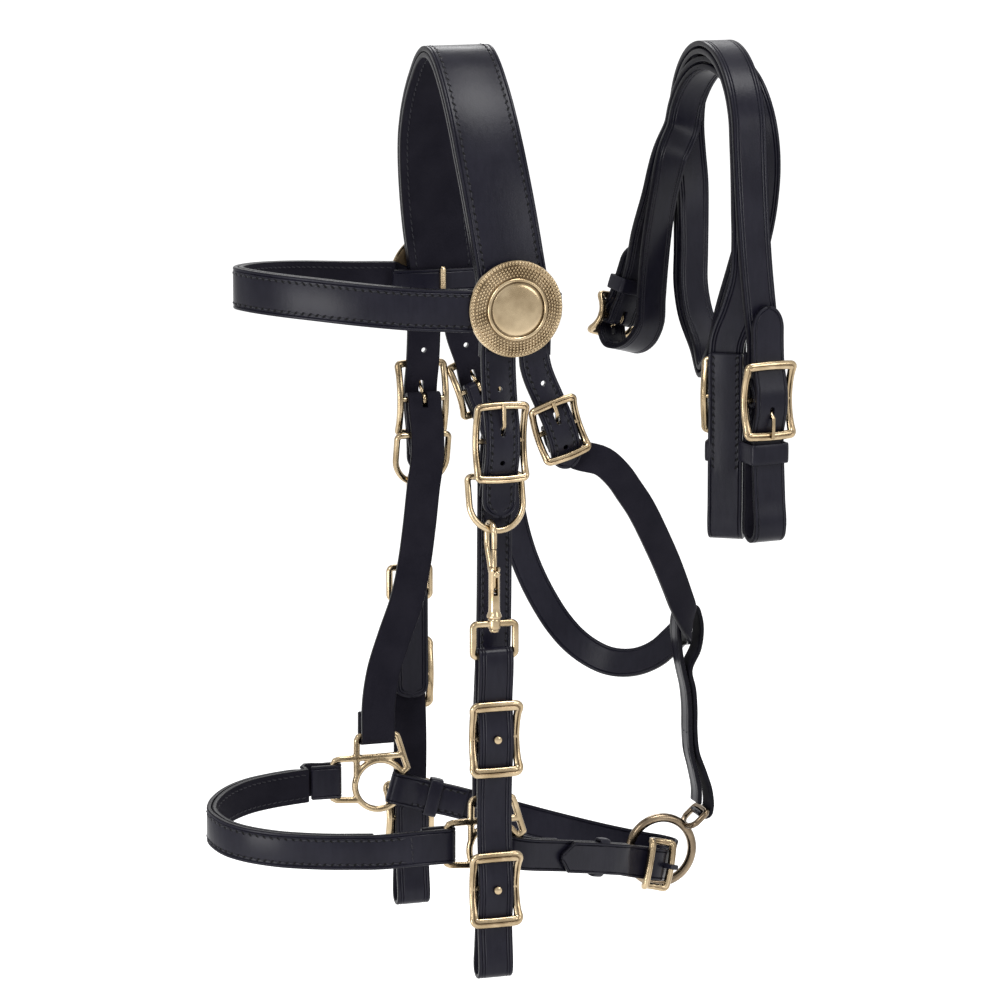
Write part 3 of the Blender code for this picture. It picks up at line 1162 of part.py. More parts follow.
def rein_billet(word, frame):
    """Strap stitched behind the rein's end, round the bit and up through the buckle."""
    half_high = REIN_BUCKLE[1] / 2 - WIRE
    over = BAR + CLEARANCE + CHAPE + CLEARANCE + LAYER / 2
    under = BOW - WIRE - CLEARANCE - LAYER / 2
    behind = -0.0040 - CHAPE / 2 - CLEARANCE - LAYER / 2
    bottom = REIN_BIT_DROP - REIN_BUCKLE_DROP - REIN_LOOP - LAYER / 2
    centre = behind + REIN_LOOP
    back = [(behind - 0.0012, -0.0250), (behind - 0.0009, -0.0120), (behind, 0.0), (behind, 0.0300),
            (behind + 0.0003, bottom - 0.012)]
    loop = arc((centre, bottom), REIN_LOOP, 180, 0, 6)
    front = [(centre + REIN_LOOP - 0.0014, bottom - 0.016), (under + 0.0006, 0.0290), (under, half_high),
             (over - 0.0003, 0.0052), (over, 0.0), (over - 0.0003, -0.0052), (under, -half_high),
             (0.0006, -0.0270), (0.0004, -0.0510)]
    stations = flow(in_frame(frame, back, REIN_WIDTH, LAYER), 0.012)
    stations += in_frame(frame, loop, REIN_WIDTH, LAYER)
    stations += flow(in_frame(frame, front, REIN_WIDTH, LAYER), 0.0065)
    strap = ribbon("rein_billet_" + word, tapered(stations, 0.013))
    tongue_holes("rein_hole_" + word, frame, strap, 1, (0.0300, -0.0125))


crown()
browband()
rosettes()
buckles()
dees()
halter_cheeks()
nose_fittings()
noseband()
bolt_snaps()
swivels()
hangers()
throat_strap()
chin_ring()
jaw_strap()
chin_straps()
reins()
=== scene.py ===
"""Halter bridle and its reins: the looks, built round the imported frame.

Every strap is laid again along its run in the frame, with rounded edges, creases and stitches, and every
fitting is cast again with its ridges, beads and bevels. Sizes are in metres, in the frame's own axes: the
horse faces -Y, its near side is +X and +Z is up.
"""

from __future__ import annotations

import json
import logging
from dataclasses import dataclass, replace
from enum import Enum
from math import ceil, copysign, cos, pi, radians, sin, sqrt
from typing import Callable, Sequence

import bmesh
import bpy
import numpy as np
from mathutils import Matrix, Vector

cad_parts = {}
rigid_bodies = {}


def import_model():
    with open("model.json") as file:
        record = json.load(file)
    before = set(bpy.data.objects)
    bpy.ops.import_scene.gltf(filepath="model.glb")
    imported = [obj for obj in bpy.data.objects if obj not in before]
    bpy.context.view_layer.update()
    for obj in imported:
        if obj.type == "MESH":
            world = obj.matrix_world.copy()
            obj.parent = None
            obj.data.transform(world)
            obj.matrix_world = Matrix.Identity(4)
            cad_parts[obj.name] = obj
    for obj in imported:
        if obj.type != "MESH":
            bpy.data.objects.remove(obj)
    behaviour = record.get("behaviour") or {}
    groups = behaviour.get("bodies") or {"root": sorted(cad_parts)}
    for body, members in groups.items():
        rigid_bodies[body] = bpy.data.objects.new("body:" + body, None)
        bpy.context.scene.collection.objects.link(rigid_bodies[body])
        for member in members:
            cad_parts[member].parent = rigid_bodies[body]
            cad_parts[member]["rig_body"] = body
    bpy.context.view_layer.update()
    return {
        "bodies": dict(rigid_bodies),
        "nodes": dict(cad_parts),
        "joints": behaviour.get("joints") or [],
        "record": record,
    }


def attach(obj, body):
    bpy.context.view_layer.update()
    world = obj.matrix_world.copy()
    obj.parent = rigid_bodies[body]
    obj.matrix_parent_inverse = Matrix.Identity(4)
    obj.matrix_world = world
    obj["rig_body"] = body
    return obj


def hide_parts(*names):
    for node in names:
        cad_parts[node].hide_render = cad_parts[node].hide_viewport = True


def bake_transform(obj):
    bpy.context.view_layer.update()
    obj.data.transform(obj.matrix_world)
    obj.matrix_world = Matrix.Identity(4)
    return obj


log = logging.getLogger("bridle")

Pair = tuple[float, float]
Piece = bpy.types.Object

# Leather
CLEARANCE = 0.0003          # gap between pieces that lie on each other
LAYER = 0.003              # one layer of the crown and of the rein
CHAPE = 0.0022              # leather thinned where it is folded round a bar
BAND = 0.0026               # one layer of the browband and of the noseband
STRAP_WIDTH = 0.019        # halter cheeks, bit hangers and noseband
KEEPER_THICK = 0.0016       # the leather of a keeper
STATION_STEP = 0.003       # longest distance between the cross-sections of a strap's mesh
STATION_TURN = 8.0          # largest turn between them, in degrees

# Brass
WIRE = 0.00175              # wire radius of frames, rings and loops
BAR = 0.0015                # radius of a middle bar
TONGUE = 0.001             # half the width of a tongue
BOW = 0.005                # how far a buckle's end bars stand out from its middle bar
SMALL_BOW = 0.0062          # the same on the short chin and rein centre buckles
WORN_AT = 0.0066            # middle of the worn hole, beside the middle bar

# Straps at a buckle, measured out from its middle bar
FOLD = BAR + CLEARANCE + CHAPE / 2              # middle of the leather folded round the bar
OVER = BAR + CLEARANCE + CHAPE + CLEARANCE      # underside of the strap that lies over the fold
UNDER = BOW - WIRE - CLEARANCE                  # outside of the strap where it passes behind an end bar
SMALL_UNDER = SMALL_BOW - WIRE - 2 * CLEARANCE  # the same on the two short buckles

# Thread
PITCH = 0.004              # one stitch
AWL_WIDE = 0.00062          # half the width of an awl hole
AWL_LONG = 0.00105          # half its length


class Side(Enum):
    """Near is the horse's left, far its right."""

    NEAR = 1
    FAR = -1

    @property
    def word(self) -> str:
        """The side's name in the names of pieces."""
        return "near" if self is Side.NEAR else "far"


class Face(Enum):
    """The part of a strap's surface that a face belongs to, in the order of its material slots."""

    GRAIN = 0
    EDGE = 1
    FLESH = 2


class Metal(Enum):
    """The part of a casting's surface, in the order of its material slots: polished brass, and a darker brass
    that paints the shade in grooves and hollows.
    """

    POLISHED = 0
    # darker brass painted where shade falls: the bars' grooves and the rosette's bed
    PATINA = 1


def vec(x: float, y: float, z: float) -> Vector:
    """A point or a direction."""
    return Vector((x, y, z))


BACK = vec(0, 1, 0)
UP = vec(0, 0, 1)


def unit(rows: np.ndarray) -> np.ndarray:
    """Each row at length one."""
    return rows / np.maximum(np.linalg.norm(rows, axis=-1, keepdims=True), 1e-12)


def boxy(values: np.ndarray, power: float) -> np.ndarray:
    """Sines or cosines raised to a power, which squares a circle; their signs stay."""
    return np.sign(values) * np.abs(values) ** power


def travelled(points: np.ndarray) -> np.ndarray:
    """Distance of each point from the first one, along the line."""
    return np.concatenate([[0.0], np.cumsum(np.linalg.norm(np.diff(points, axis=0), axis=1))])


@dataclass(frozen=True)
class Station:
    """One cross-section of a strap: its middle, its direction across, its sizes and its normal, if fixed."""

    point: Vector
    across: Vector
    width: float
    thick: float
    normal: Vector | None = None


def course(points: Sequence[Vector], across: Vector, width: float, thick: float) -> list[Station]:
    """Stations through points, alike in all but their place."""
    return [Station(point, across, width, thick) for point in points]


@dataclass(frozen=True)
class Place:
    """Local axes at a bar: out from the horse, along the strap and across it."""

    origin: Vector
    out: Vector
    along: Vector
    across: Vector

    def at(self, out: float, along: float, across: float = 0.0) -> Vector:
        """A point given by its distances on the three axes."""
        return self.origin + self.out * out + self.along * along + self.across * across

    def moved(self, out: float, along: float) -> Place:
        """The same axes at another point, given by its distances on them."""
        return replace(self, origin=self.at(out, along))

    def strap(self, section: Sequence[Pair], width: float, thick: float) -> list[Station]:
        """Stations of a strap whose section is drawn in these axes, as (out, along)."""
        return course([self.at(o, a) for o, a in section], self.across, width, thick)


def side_place(side: Side, x: float, y: float, z: float) -> Place:
    """Upright axes at a point that is given for the near side: along runs down, across runs back."""
    return Place(vec(side.value * x, y, z), vec(side.value, 0, 0), vec(0, 0, -1), BACK)


def arc(centre: Pair, radius: float, start: float, end: float, count: int) -> list[Pair]:
    """Points of an arc in a section.

    Args:
        centre: its middle.
        radius: its radius.
        start, end: its angles in degrees.
        count: how many steps it has.

    Returns:
        The points.
    """
    steps = [radians(start + (end - start) * i / count) for i in range(count + 1)]
    return [(centre[0] + radius * cos(a), centre[1] + radius * sin(a)) for a in steps]


def rounded(wide: float, low: float, high: float, corner: float, count: int) -> list[Pair]:
    """A rectangle with round corners, as (across, along).

    Args:
        wide: half its width.
        low, high: its lower and its upper edge.
        corner: the radius of its corners.
        count: how many steps a corner has.

    Returns:
        The points.
    """
    wide, low, high = wide - corner, low + corner, high - corner
    line = []
    for start, centre in ((0, (wide, high)), (90, (-wide, high)), (180, (-wide, low)), (270, (wide, low))):
        line += arc(centre, corner, start, start + 90, count)
    return line


def slopes(values: Sequence, steps: Sequence[float]) -> list:
    """Slope at each knot, from its neighbours and the distances between them."""
    rise = [(b - a) / step for a, b, step in zip(values, values[1:], steps)]
    inner = [(left * after + right * before) / (before + after)
             for left, right, before, after in zip(rise, rise[1:], steps, steps[1:])]
    return [rise[0], *inner, rise[-1]]


def eased(ends: Sequence, rises: Sequence, reach: float, t: float | np.ndarray) -> Vector | np.ndarray:
    """Values on the smooth curve between two knots.

    Args:
        ends: the values at both knots.
        rises: the slopes there.
        reach: the distance between the knots.
        t: which share of it is passed.

    Returns:
        The value there, or a row for each share.
    """
    return (ends[0] * (2 * t ** 3 - 3 * t ** 2 + 1) + rises[0] * ((t ** 3 - 2 * t ** 2 + t) * reach)
            + ends[1] * (3 * t ** 2 - 2 * t ** 3) + rises[1] * ((t ** 3 - t ** 2) * reach))


def flow(knots: Sequence[Station], step: float) -> list[Station]:
    """Stations on one smooth curve through knots, about a step apart."""
    steps = [(b.point - a.point).length for a, b in zip(knots, knots[1:])]
    places = slopes([k.point for k in knots], steps)
    turns = slopes([k.across for k in knots], steps)
    made = []
    for i, (a, b, reach) in enumerate(zip(knots, knots[1:], steps)):
        count = max(1, round(reach / step))
        for t in (part / count for part in range(count)):
            point = eased((a.point, b.point), places[i:i + 2], reach, t)
            turn = eased((a.across, b.across), turns[i:i + 2], reach, t)
            width = a.width + (b.width - a.width) * t
            made.append(Station(point, turn, width, a.thick + (b.thick - a.thick) * t))
    return [*made, knots[-1]]


def axes(stations: Sequence[Station]) -> list[tuple[Vector, Vector, Vector]]:
    """Tangent, across and normal of each station."""
    found = []
    last = len(stations) - 1
    for index, station in enumerate(stations):
        tangent = (stations[min(index + 1, last)].point - stations[max(index - 1, 0)].point).normalized()
        across = station.across
        if station.normal is None:
            across = (across - tangent * across.dot(tangent)).normalized()
        found.append((tangent, across, station.normal or tangent.cross(across)))
    return found


def squared(stations: Sequence[Station], across: Vector) -> list[Station]:
    """Stations of a band whose cross-sections all lie along one direction, so that layers nest."""
    return [replace(s, across=across, normal=t.cross(across).normalized())
            for s, (t, _, _) in zip(stations, axes(stations))]


def lifted(stations: Sequence[Station], lift: float) -> list[Station]:
    """The same stations moved along their normals, which they keep, so that layers stay parallel."""
    return [replace(s, point=s.point + normal * lift, normal=normal, across=across)
            for s, (_, across, normal) in zip(stations, axes(stations))]


def free(stations: Sequence[Station]) -> list[Station]:
    """The same stations without normals of their own."""
    return [replace(s, normal=None) for s in stations]


def mirrored(stations: Sequence[Station]) -> list[Station]:
    """The same stations on the other side of the horse, in the opposite order."""
    return [replace(s, point=vec(-s.point.x, s.point.y, s.point.z)) for s in reversed(stations)]


# Shader building


class Socket:
    """A shader value whose arithmetic adds Math nodes."""

    def __init__(self, tree: Tree, link: bpy.types.NodeSocket) -> None:
        """Wraps an output socket of one of a tree's nodes."""
        self.tree = tree
        self.link = link

    def __add__(self, other: Socket | float) -> Socket:
        """This value plus another."""
        return self.tree.math("ADD", self, other)

    def __sub__(self, other: Socket | float) -> Socket:
        """This value less another."""
        return self.tree.math("SUBTRACT", self, other)

    def __rsub__(self, other: float) -> Socket:
        """A number less this value."""
        return self.tree.math("SUBTRACT", other, self)

    def __mul__(self, other: Socket | float) -> Socket:
        """This value times another."""
        return self.tree.math("MULTIPLY", self, other)

    def __truediv__(self, other: Socket | float) -> Socket:
        """This value over another."""
        return self.tree.math("DIVIDE", self, other)

    __radd__ = __add__
    __rmul__ = __mul__

    def fraction(self) -> Socket:
        """The part behind the decimal point."""
        return self.tree.math("FRACT", self)

    def smooth(self, low: float, high: float) -> Socket:
        """A mask that rises smoothly from 0 at low to 1 at high."""
        inputs = {"Value": self, "From Min": low, "From Max": high}
        return self.tree.node("ShaderNodeMapRange", {"interpolation_type": "SMOOTHSTEP"}, inputs)


class Tree:
    """The nodes of a material or of a world, under construction."""

    def __init__(self, owner: bpy.types.ID) -> None:
        """Takes up the owner's nodes."""
        owner.use_nodes = True
        self.nodes = owner.node_tree.nodes
        self.links = owner.node_tree.links

    def node(self, kind: str, settings: dict | None = None, inputs: dict | None = None,
             out: int | str = 0) -> Socket:
        """Adds a node of any kind.

        Args:
            kind: the node's type.
            settings: its properties, set first.
            inputs: values or links for its sockets, by name or number.
            out: which output is wanted.

        Returns:
            That output.
        """
        made = self.nodes.new(kind)
        for key, value in (settings or {}).items():
            setattr(made, key, value)
        for key, value in (inputs or {}).items():
            self.feed(made.inputs[key], value)
        return Socket(self, made.outputs[out])

    def feed(self, socket: bpy.types.NodeSocket, value: object) -> None:
        """Links or sets one input socket."""
        if isinstance(value, Socket):
            self.links.new(value.link, socket)
        elif isinstance(value, tuple) and socket.type == "RGBA":
            socket.default_value = (*value, 1.0)
        else:
            socket.default_value = value

    def math(self, operation: str, *values: Socket | float) -> Socket:
        """A Math node with its inputs in order."""
        return self.node("ShaderNodeMath", {"operation": operation}, dict(enumerate(values)))

    def seen(self) -> Socket:
        """A factor that is 1 for what the camera sees, directly, in gloss or through glass."""
        camera, gloss, glass = (self.node("ShaderNodeLightPath", out=f"Is {ray} Ray")
                                for ray in ("Camera", "Glossy", "Transmission"))
        return self.math("MAXIMUM", self.math("MAXIMUM", camera, gloss), glass)


class Shader(Tree):
    """A material under construction."""

    def __init__(self, name: str) -> None:
        """Starts a material with one Principled shader."""
        self.material = bpy.data.materials.new(name)
        super().__init__(self.material)
        self.body = self.nodes["Principled BSDF"]

    def noise(self, scale: float, detail: float, stretch: tuple = (1.0, 1.0, 1.0)) -> Socket:
        """A noise pattern on the object's own coordinates.

        Args:
            scale: cells per metre.
            detail: how many finer layers it has.
            stretch: how the coordinates are scaled first.

        Returns:
            The noise's value.
        """
        place = self.node("ShaderNodeTexCoord", out="Object")
        placed = self.node("ShaderNodeMapping", None, {"Vector": place, "Scale": stretch})
        return self.node("ShaderNodeTexNoise", None, {"Vector": placed, "Scale": scale, "Detail": detail})

    def blend(self, mask: Socket, low: Socket | tuple, high: Socket | tuple) -> Socket:
        """A colour between two colours, by a mask from 0 to 1."""
        return self.node("ShaderNodeMix", {"data_type": "RGBA"}, {0: mask, 6: low, 7: high}, 2)

    def bump(self, height: Socket, depth: float, after: Socket | None = None) -> Socket:
        """The normal that a relief gives.

        Args:
            height: the relief, from 0 to 1.
            depth: its depth in metres.
            after: a normal that it adds to.

        Returns:
            The new normal.
        """
        inputs = {"Height": height, "Distance": depth, "Strength": 1.0}
        if after:
            inputs["Normal"] = after
        return self.node("ShaderNodeBump", None, inputs)

    def pits(self) -> Socket:
        """A mask of awl holes, by a map of the distance from the seam and the way along it."""
        chart = self.node("ShaderNodeTexCoord", out="UV")
        aside, travel = (self.node("ShaderNodeSeparateXYZ", None, {0: chart}, axis) for axis in (0, 1))
        along = ((travel / PITCH).fraction() - 0.5) * PITCH
        slant = (aside + along * 0.5) / AWL_WIDE
        along = along / AWL_LONG
        return 1.0 - (slant * slant + along * along).smooth(0.4, 1.5)

    def dress(self, **inputs: object) -> bpy.types.Material:
        """The material, with these sockets of its Principled shader set; underscores stand for spaces."""
        for key, value in inputs.items():
            self.feed(self.body.inputs[key.replace("_", " ")], value)
        return self.material

@dataclass(frozen=True)
class BridleLeather:
    """Waxed black bridle leather, its grain side."""

    name: str = "black_bridle_leather"
    deep: tuple = (0.0046, 0.0043, 0.009)
    worn: tuple = (0.0098, 0.0094, 0.0158)
    # near black painted into the awl holes: the shade inside them, painted
    awl: tuple = (0.0004, 0.0004, 0.0006)
    roughness: float = 0.22

    def make(self) -> bpy.types.Material:
        """The material: fine grain, long soft marks, and pits where the awl went through, painted near black
        as their shade.
        """
        shader = Shader(self.name)
        cloud = shader.noise(38.0, 4.0)
        grain = shader.noise(1500.0, 3.0)
        marks = shader.noise(420.0, 2.0, (1.0, 1.0, 0.22))
        pits = shader.pits()
        tone = (cloud * 0.7 + marks * 0.3).smooth(0.3, 0.72)
        # The awl holes take the near-black awl colour: painted shade inside the holes.
        colour = shader.blend(pits, shader.blend(tone, self.deep, self.worn), self.awl)
        normal = shader.bump(grain, 0.00005)
        normal = shader.bump(marks, 0.00005, normal)
        normal = shader.bump(1.0 - pits, 0.0004, normal)
        roughness = self.roughness + cloud * 0.12 + grain * 0.06 + pits * 0.35
        shader.dress(Specular_IOR_Level=0.14)
        return shader.dress(Base_Color=colour, Roughness=roughness, Normal=normal)


@dataclass(frozen=True)
class FleshSide:
    """The strap's matt inner side."""

    name: str = "leather_flesh_side"
    deep: tuple = (0.005, 0.0046, 0.0084)
    pale: tuple = (0.0108, 0.01, 0.0152)

    def make(self) -> bpy.types.Material:
        """The material: short loose fibres without shine."""
        shader = Shader(self.name)
        cloud = shader.noise(60.0, 5.0)
        fibre = shader.noise(2600.0, 4.0)
        colour = shader.blend((cloud * 0.5 + fibre * 0.5).smooth(0.32, 0.7), self.deep, self.pale)
        normal = shader.bump(cloud, 0.00025, shader.bump(fibre, 0.00012))
        shader.dress(Specular_IOR_Level=0.08)
        return shader.dress(Base_Color=colour, Roughness=fibre * 0.18 + 0.72, Normal=normal)


@dataclass(frozen=True)
class BurnishedEdge:
    """The cut edge, dyed and rubbed until it shines."""

    name: str = "burnished_edge"
    deep: tuple = (0.0022, 0.002, 0.004)
    worn: tuple = (0.0048, 0.0045, 0.0078)

    def make(self) -> bpy.types.Material:
        """The material: a deeper black than the grain's, with faint layers."""
        shader = Shader(self.name)
        layers = shader.noise(900.0, 2.0, (0.4, 1.0, 1.0))
        colour = shader.blend(layers.smooth(0.35, 0.7), self.deep, self.worn)
        shader.dress(Specular_IOR_Level=0.08)
        normal = shader.bump(layers, 0.00008)
        return shader.dress(Base_Color=colour, Roughness=layers * 0.2 + 0.2, Normal=normal)


@dataclass(frozen=True)
class WaxedThread:
    """Black waxed linen thread."""

    name: str = "waxed_thread"
    deep: tuple = (0.003, 0.003, 0.0045)
    pale: tuple = (0.02, 0.02, 0.028)

    def make(self) -> bpy.types.Material:
        """The material: plies with a wax shine."""
        shader = Shader(self.name)
        twist = shader.noise(3200.0, 1.0)
        colour = shader.blend(twist.smooth(0.35, 0.65), self.deep, self.pale)
        shader.dress(Specular_IOR_Level=0.22)
        normal = shader.bump(twist, 0.0001)
        return shader.dress(Base_Color=colour, Roughness=twist * 0.15 + 0.4, Normal=normal)


@dataclass(frozen=True)
class CastBrass:
    """Polished cast brass."""

    name: str = "polished_brass"
    light: tuple = (0.46, 0.362, 0.232)
    dark: tuple = (0.25, 0.186, 0.108)
    roughness: float = 0.15
    relief: float = 0.00009

    def make(self) -> bpy.types.Material:
        """The material: a slightly uneven cast surface, duller where it is less handled."""
        shader = Shader(self.name)
        cast = shader.noise(190.0, 2.0)
        fine = shader.noise(2400.0, 2.0)
        colour = shader.blend(shader.noise(70.0, 3.0).smooth(0.25, 0.75), self.dark, self.light)
        normal = shader.bump(fine, self.relief * 0.2, shader.bump(cast, self.relief))
        shader.dress(Metallic=1.0)
        roughness = cast * 0.1 + fine * 0.05 + self.roughness
        return shader.dress(Base_Color=colour, Roughness=roughness, Normal=normal)


@dataclass(frozen=True)
class SpringSteel:
    """Drawn spring wire."""

    name: str = "spring_wire"

    def make(self) -> bpy.types.Material:
        """The material: grey steel with faint drawing marks."""
        shader = Shader(self.name)
        drawn = shader.noise(1800.0, 2.0, (1.0, 1.0, 0.3))
        shader.dress(Metallic=1.0)
        colour = shader.blend(drawn, (0.36, 0.36, 0.38), (0.55, 0.55, 0.57))
        return shader.dress(Base_Color=colour, Roughness=drawn * 0.15 + 0.28)


class Finishes:
    """Every finish, made once."""

    def __init__(self) -> None:
        """Makes the materials."""
        self.leather = [BridleLeather().make(), BurnishedEdge().make(), FleshSide().make()]
        self.thread = [WaxedThread().make()]
        # A darker brass that paints the shade in the bars' grooves and in the rosette's bed between the
        # beads; the bronze ring carries it as its second slot.
        shade_brass = CastBrass("brass_painted_shade", (0.33, 0.248, 0.155), (0.085, 0.056, 0.029), 0.24).make()
        self.brass = [CastBrass().make(), shade_brass]
        bronze = CastBrass("ring_bronze", (0.25, 0.192, 0.13), (0.108, 0.08, 0.052), 0.13).make()
        self.bronze = [bronze, shade_brass]
        self.steel = [SpringSteel().make()]


# Modelling


class Bench:
    """The modelling operators that the pieces share."""

    groove_half = 0.15      # half the angle that a bar's groove takes up
    hole_sides = 20

    @staticmethod
    def active() -> Piece:
        """The object that an operator has just added or left active."""
        return bpy.context.view_layer.objects.active

    @staticmethod
    def select(*pieces: Piece) -> None:
        """Selects these pieces alone; the last is active."""
        bpy.ops.object.select_all(action="DESELECT")
        for piece in pieces:
            piece.select_set(True)
            bpy.context.view_layer.objects.active = piece

    @classmethod
    def added(cls, operator: Callable, **settings: object) -> Piece:
        """The object that an operator adds, with nothing else selected."""
        cls.select()
        operator(**settings)
        return cls.active()

    @classmethod
    def applied(cls, piece: Piece, kind: str, **settings: object) -> None:
        """Adds a modifier with these settings to a piece, and applies it."""
        cls.select(piece)
        step = piece.modifiers.new(kind.lower(), kind)
        for key, value in settings.items():
            setattr(step, key, value)
        bpy.ops.object.modifier_apply(modifier=step.name)

    @staticmethod
    def outward(piece: Piece) -> Piece:
        """Turns the faces of a closed mesh outwards, if they aren't."""
        data = bmesh.new()
        data.from_mesh(piece.data)
        volume = data.calc_volume(signed=True)
        data.free()
        if volume < 0:
            piece.data.flip_normals()
        return piece

    @classmethod
    def roll(cls, rings: np.ndarray, closed: bool = False, faces: Sequence[Enum] | None = None,
             chart: np.ndarray | None = None) -> Piece:
        """A closed skin through rings of points: a grid rolled up, welded at its seam and filled at its ends.

        Args:
            rings: points, by ring and place round the ring.
            closed: whether the last ring meets the first.
            faces: the part of the surface that each column of faces belongs to.
            chart: map coordinates of every point, with one column more than the rings.

        Returns:
            The skin.
        """
        if closed:
            rings = np.concatenate([rings, rings[:1]])
        count, around = rings.shape[:2]
        grid = bpy.ops.mesh.primitive_grid_add
        made = cls.added(grid, x_subdivisions=around, y_subdivisions=count - 1, size=1.0)
        mesh = made.data
        wrapped = np.concatenate([rings, rings[:, :1]], axis=1)
        mesh.vertices.foreach_set("co", wrapped.reshape(-1).astype(np.float32))
        if faces is not None:
            columns = np.array([f.value for f in faces], np.int32)
            mesh.polygons.foreach_set("material_index", np.tile(columns, count - 1))
        if chart is not None:
            corners = np.empty(len(mesh.loops), np.int32)
            mesh.loops.foreach_get("vertex_index", corners)
            placed = chart.reshape(-1, 2)[corners].reshape(-1).astype(np.float32)
            mesh.uv_layers.active.data.foreach_set("uv", placed)
        mesh.update()
        bpy.ops.object.mode_set(mode="EDIT")
        bpy.ops.mesh.select_all(action="SELECT")
        bpy.ops.mesh.remove_doubles(threshold=1e-6)
        bpy.ops.mesh.select_all(action="SELECT")
        bpy.ops.mesh.fill_holes(sides=0)
        bpy.ops.object.mode_set(mode="OBJECT")
        return cls.outward(made)

    @classmethod
    def turn(cls, origin: Vector, axis: Vector, profile: Sequence[Pair], sides: int,
             metal: Metal = Metal.POLISHED) -> Piece:
        """A turned solid.

        Args:
            origin: where its axis starts.
            axis: the direction that it is turned about.
            profile: (radius, height) from one end of the axis to the other.
            sides: faces round it.
            metal: its surface.

        Returns:
            The solid.
        """
        side = axis.orthogonal().normalized()
        other = axis.cross(side)
        turns = [2 * pi * i / sides for i in range(sides)]
        rings = [[origin + axis * height + (side * cos(a) + other * sin(a)) * radius for a in turns]
                 for radius, height in profile]
        return cls.roll(np.array(rings), faces=[metal] * sides)

    @classmethod
    def wire(cls, points: Sequence[Vector], radius: object, guide: Vector, closed: bool = False,
             sides: int = 16, square: float = 0.0, groove: float = 0.0) -> Piece:
        """A drawn or cast wire through points.

        Args:
            points: its middle line.
            radius: one radius, or one per point, or a pair (towards the guide, aside) for all or per point.
            guide: a direction that the wire never runs along.
            closed: whether it closes on itself.
            sides: faces round it.
            square: 0 for a round section, towards 1 for a square one.
            groove: depth of a narrow groove along the guide's side, as a share of the radius; its faces get
                the darker brass, as painted shade.

        Returns:
            The wire.
        """
        line = np.array(points)
        before, after = np.roll(line, 1, axis=0), np.roll(line, -1, axis=0)
        if not closed:
            before[0] = line[0]
            after[-1] = line[-1]
        tangent = unit(after - before)
        lead = np.array(guide)
        first = unit(lead - tangent * (tangent @ lead)[:, None])
        second = np.cross(tangent, first)
        sizes = np.array(radius, float)
        if isinstance(radius, tuple):
            sizes = np.tile(sizes, (len(line), 1))
        elif sizes.ndim < 2:
            sizes = np.stack([np.broadcast_to(sizes, len(line))] * 2, axis=1)
        angles = 2 * pi * np.arange(sides) / sides
        metals = [Metal.POLISHED] * sides
        # The groove's faces take the darker brass: painted shade in the groove.
        if groove:
            angles = np.concatenate([[0.0, cls.groove_half], angles[1:], [2 * pi - cls.groove_half]])
            metals = [Metal.PATINA, *metals, Metal.PATINA]
        power = 1.0 - 0.55 * square
        along = boxy(np.cos(angles), power) - groove * (angles == 0.0)
        aside = boxy(np.sin(angles), power)
        rings = (line[:, None] + first[:, None] * (sizes[:, 0, None] * along)[..., None]
                 + second[:, None] * (sizes[:, 1, None] * aside)[..., None])
        return cls.roll(rings, closed, metals)

    @classmethod
    def box(cls, place: Place, low: Sequence[float], high: Sequence[float]) -> Piece:
        """A box in a place's axes, from its low to its high corner (out, along, across)."""
        made = cls.added(bpy.ops.mesh.primitive_cube_add, size=2.0)
        middle = [(a + b) / 2 for a, b in zip(low, high)]
        half = [abs(b - a) / 2 for a, b in zip(low, high)]
        turn = Matrix((place.out, place.along, place.across)).transposed().to_4x4()
        made.data.transform(Matrix.Translation(place.at(*middle)) @ turn @ Matrix.Diagonal((*half, 1.0)))
        return cls.outward(made)

    @classmethod
    def punch(cls, place: Place, along: float, half_along: float, half_across: float, low: float = -0.008,
              high: float = 0.012) -> Piece:
        """The cutter of a round or oval hole through a strap.

        Args:
            place: axes at the buckle's bar.
            along: where the hole's middle lies.
            half_along, half_across: half its length and width.
            low, high: how far the cutter reaches in and out.

        Returns:
            The cutter.
        """
        angles = 2 * pi * np.arange(cls.hole_sides) / cls.hole_sides
        power = 1.0 if half_along == half_across else 0.5
        places = along + half_along * boxy(np.cos(angles), power)
        line = list(zip(places, half_across * boxy(np.sin(angles), power)))
        return cls.roll(np.array([[place.at(out, a, c) for a, c in line] for out in (low, high)]))

    @classmethod
    def cut(cls, piece: Piece, cutter: Piece, operation: str = "DIFFERENCE") -> None:
        """Cuts a piece by another, or joins it on; the other one is used up."""
        cls.applied(piece, "BOOLEAN", operation=operation, solver="EXACT", object=cutter)
        bpy.data.objects.remove(cutter, do_unlink=True)

    @classmethod
    def join(cls, name: str, pieces: Sequence[Piece]) -> Piece:
        """One object from several, with its own name."""
        cls.select(*reversed(pieces))
        if len(pieces) > 1:
            bpy.ops.object.join()
        made = cls.active()
        made.name = name
        made.data.name = name
        return made

    @classmethod
    def ball(cls) -> tuple[np.ndarray, list[list[int]]]:
        """Points and faces of a small ball, to be shaped and copied."""
        made = cls.added(bpy.ops.mesh.primitive_uv_sphere_add, segments=8, ring_count=6, radius=1.0)
        rest = np.array([v.co for v in made.data.vertices])
        polygons = [list(p.vertices) for p in made.data.polygons]
        bpy.data.objects.remove(made, do_unlink=True)
        return rest, polygons

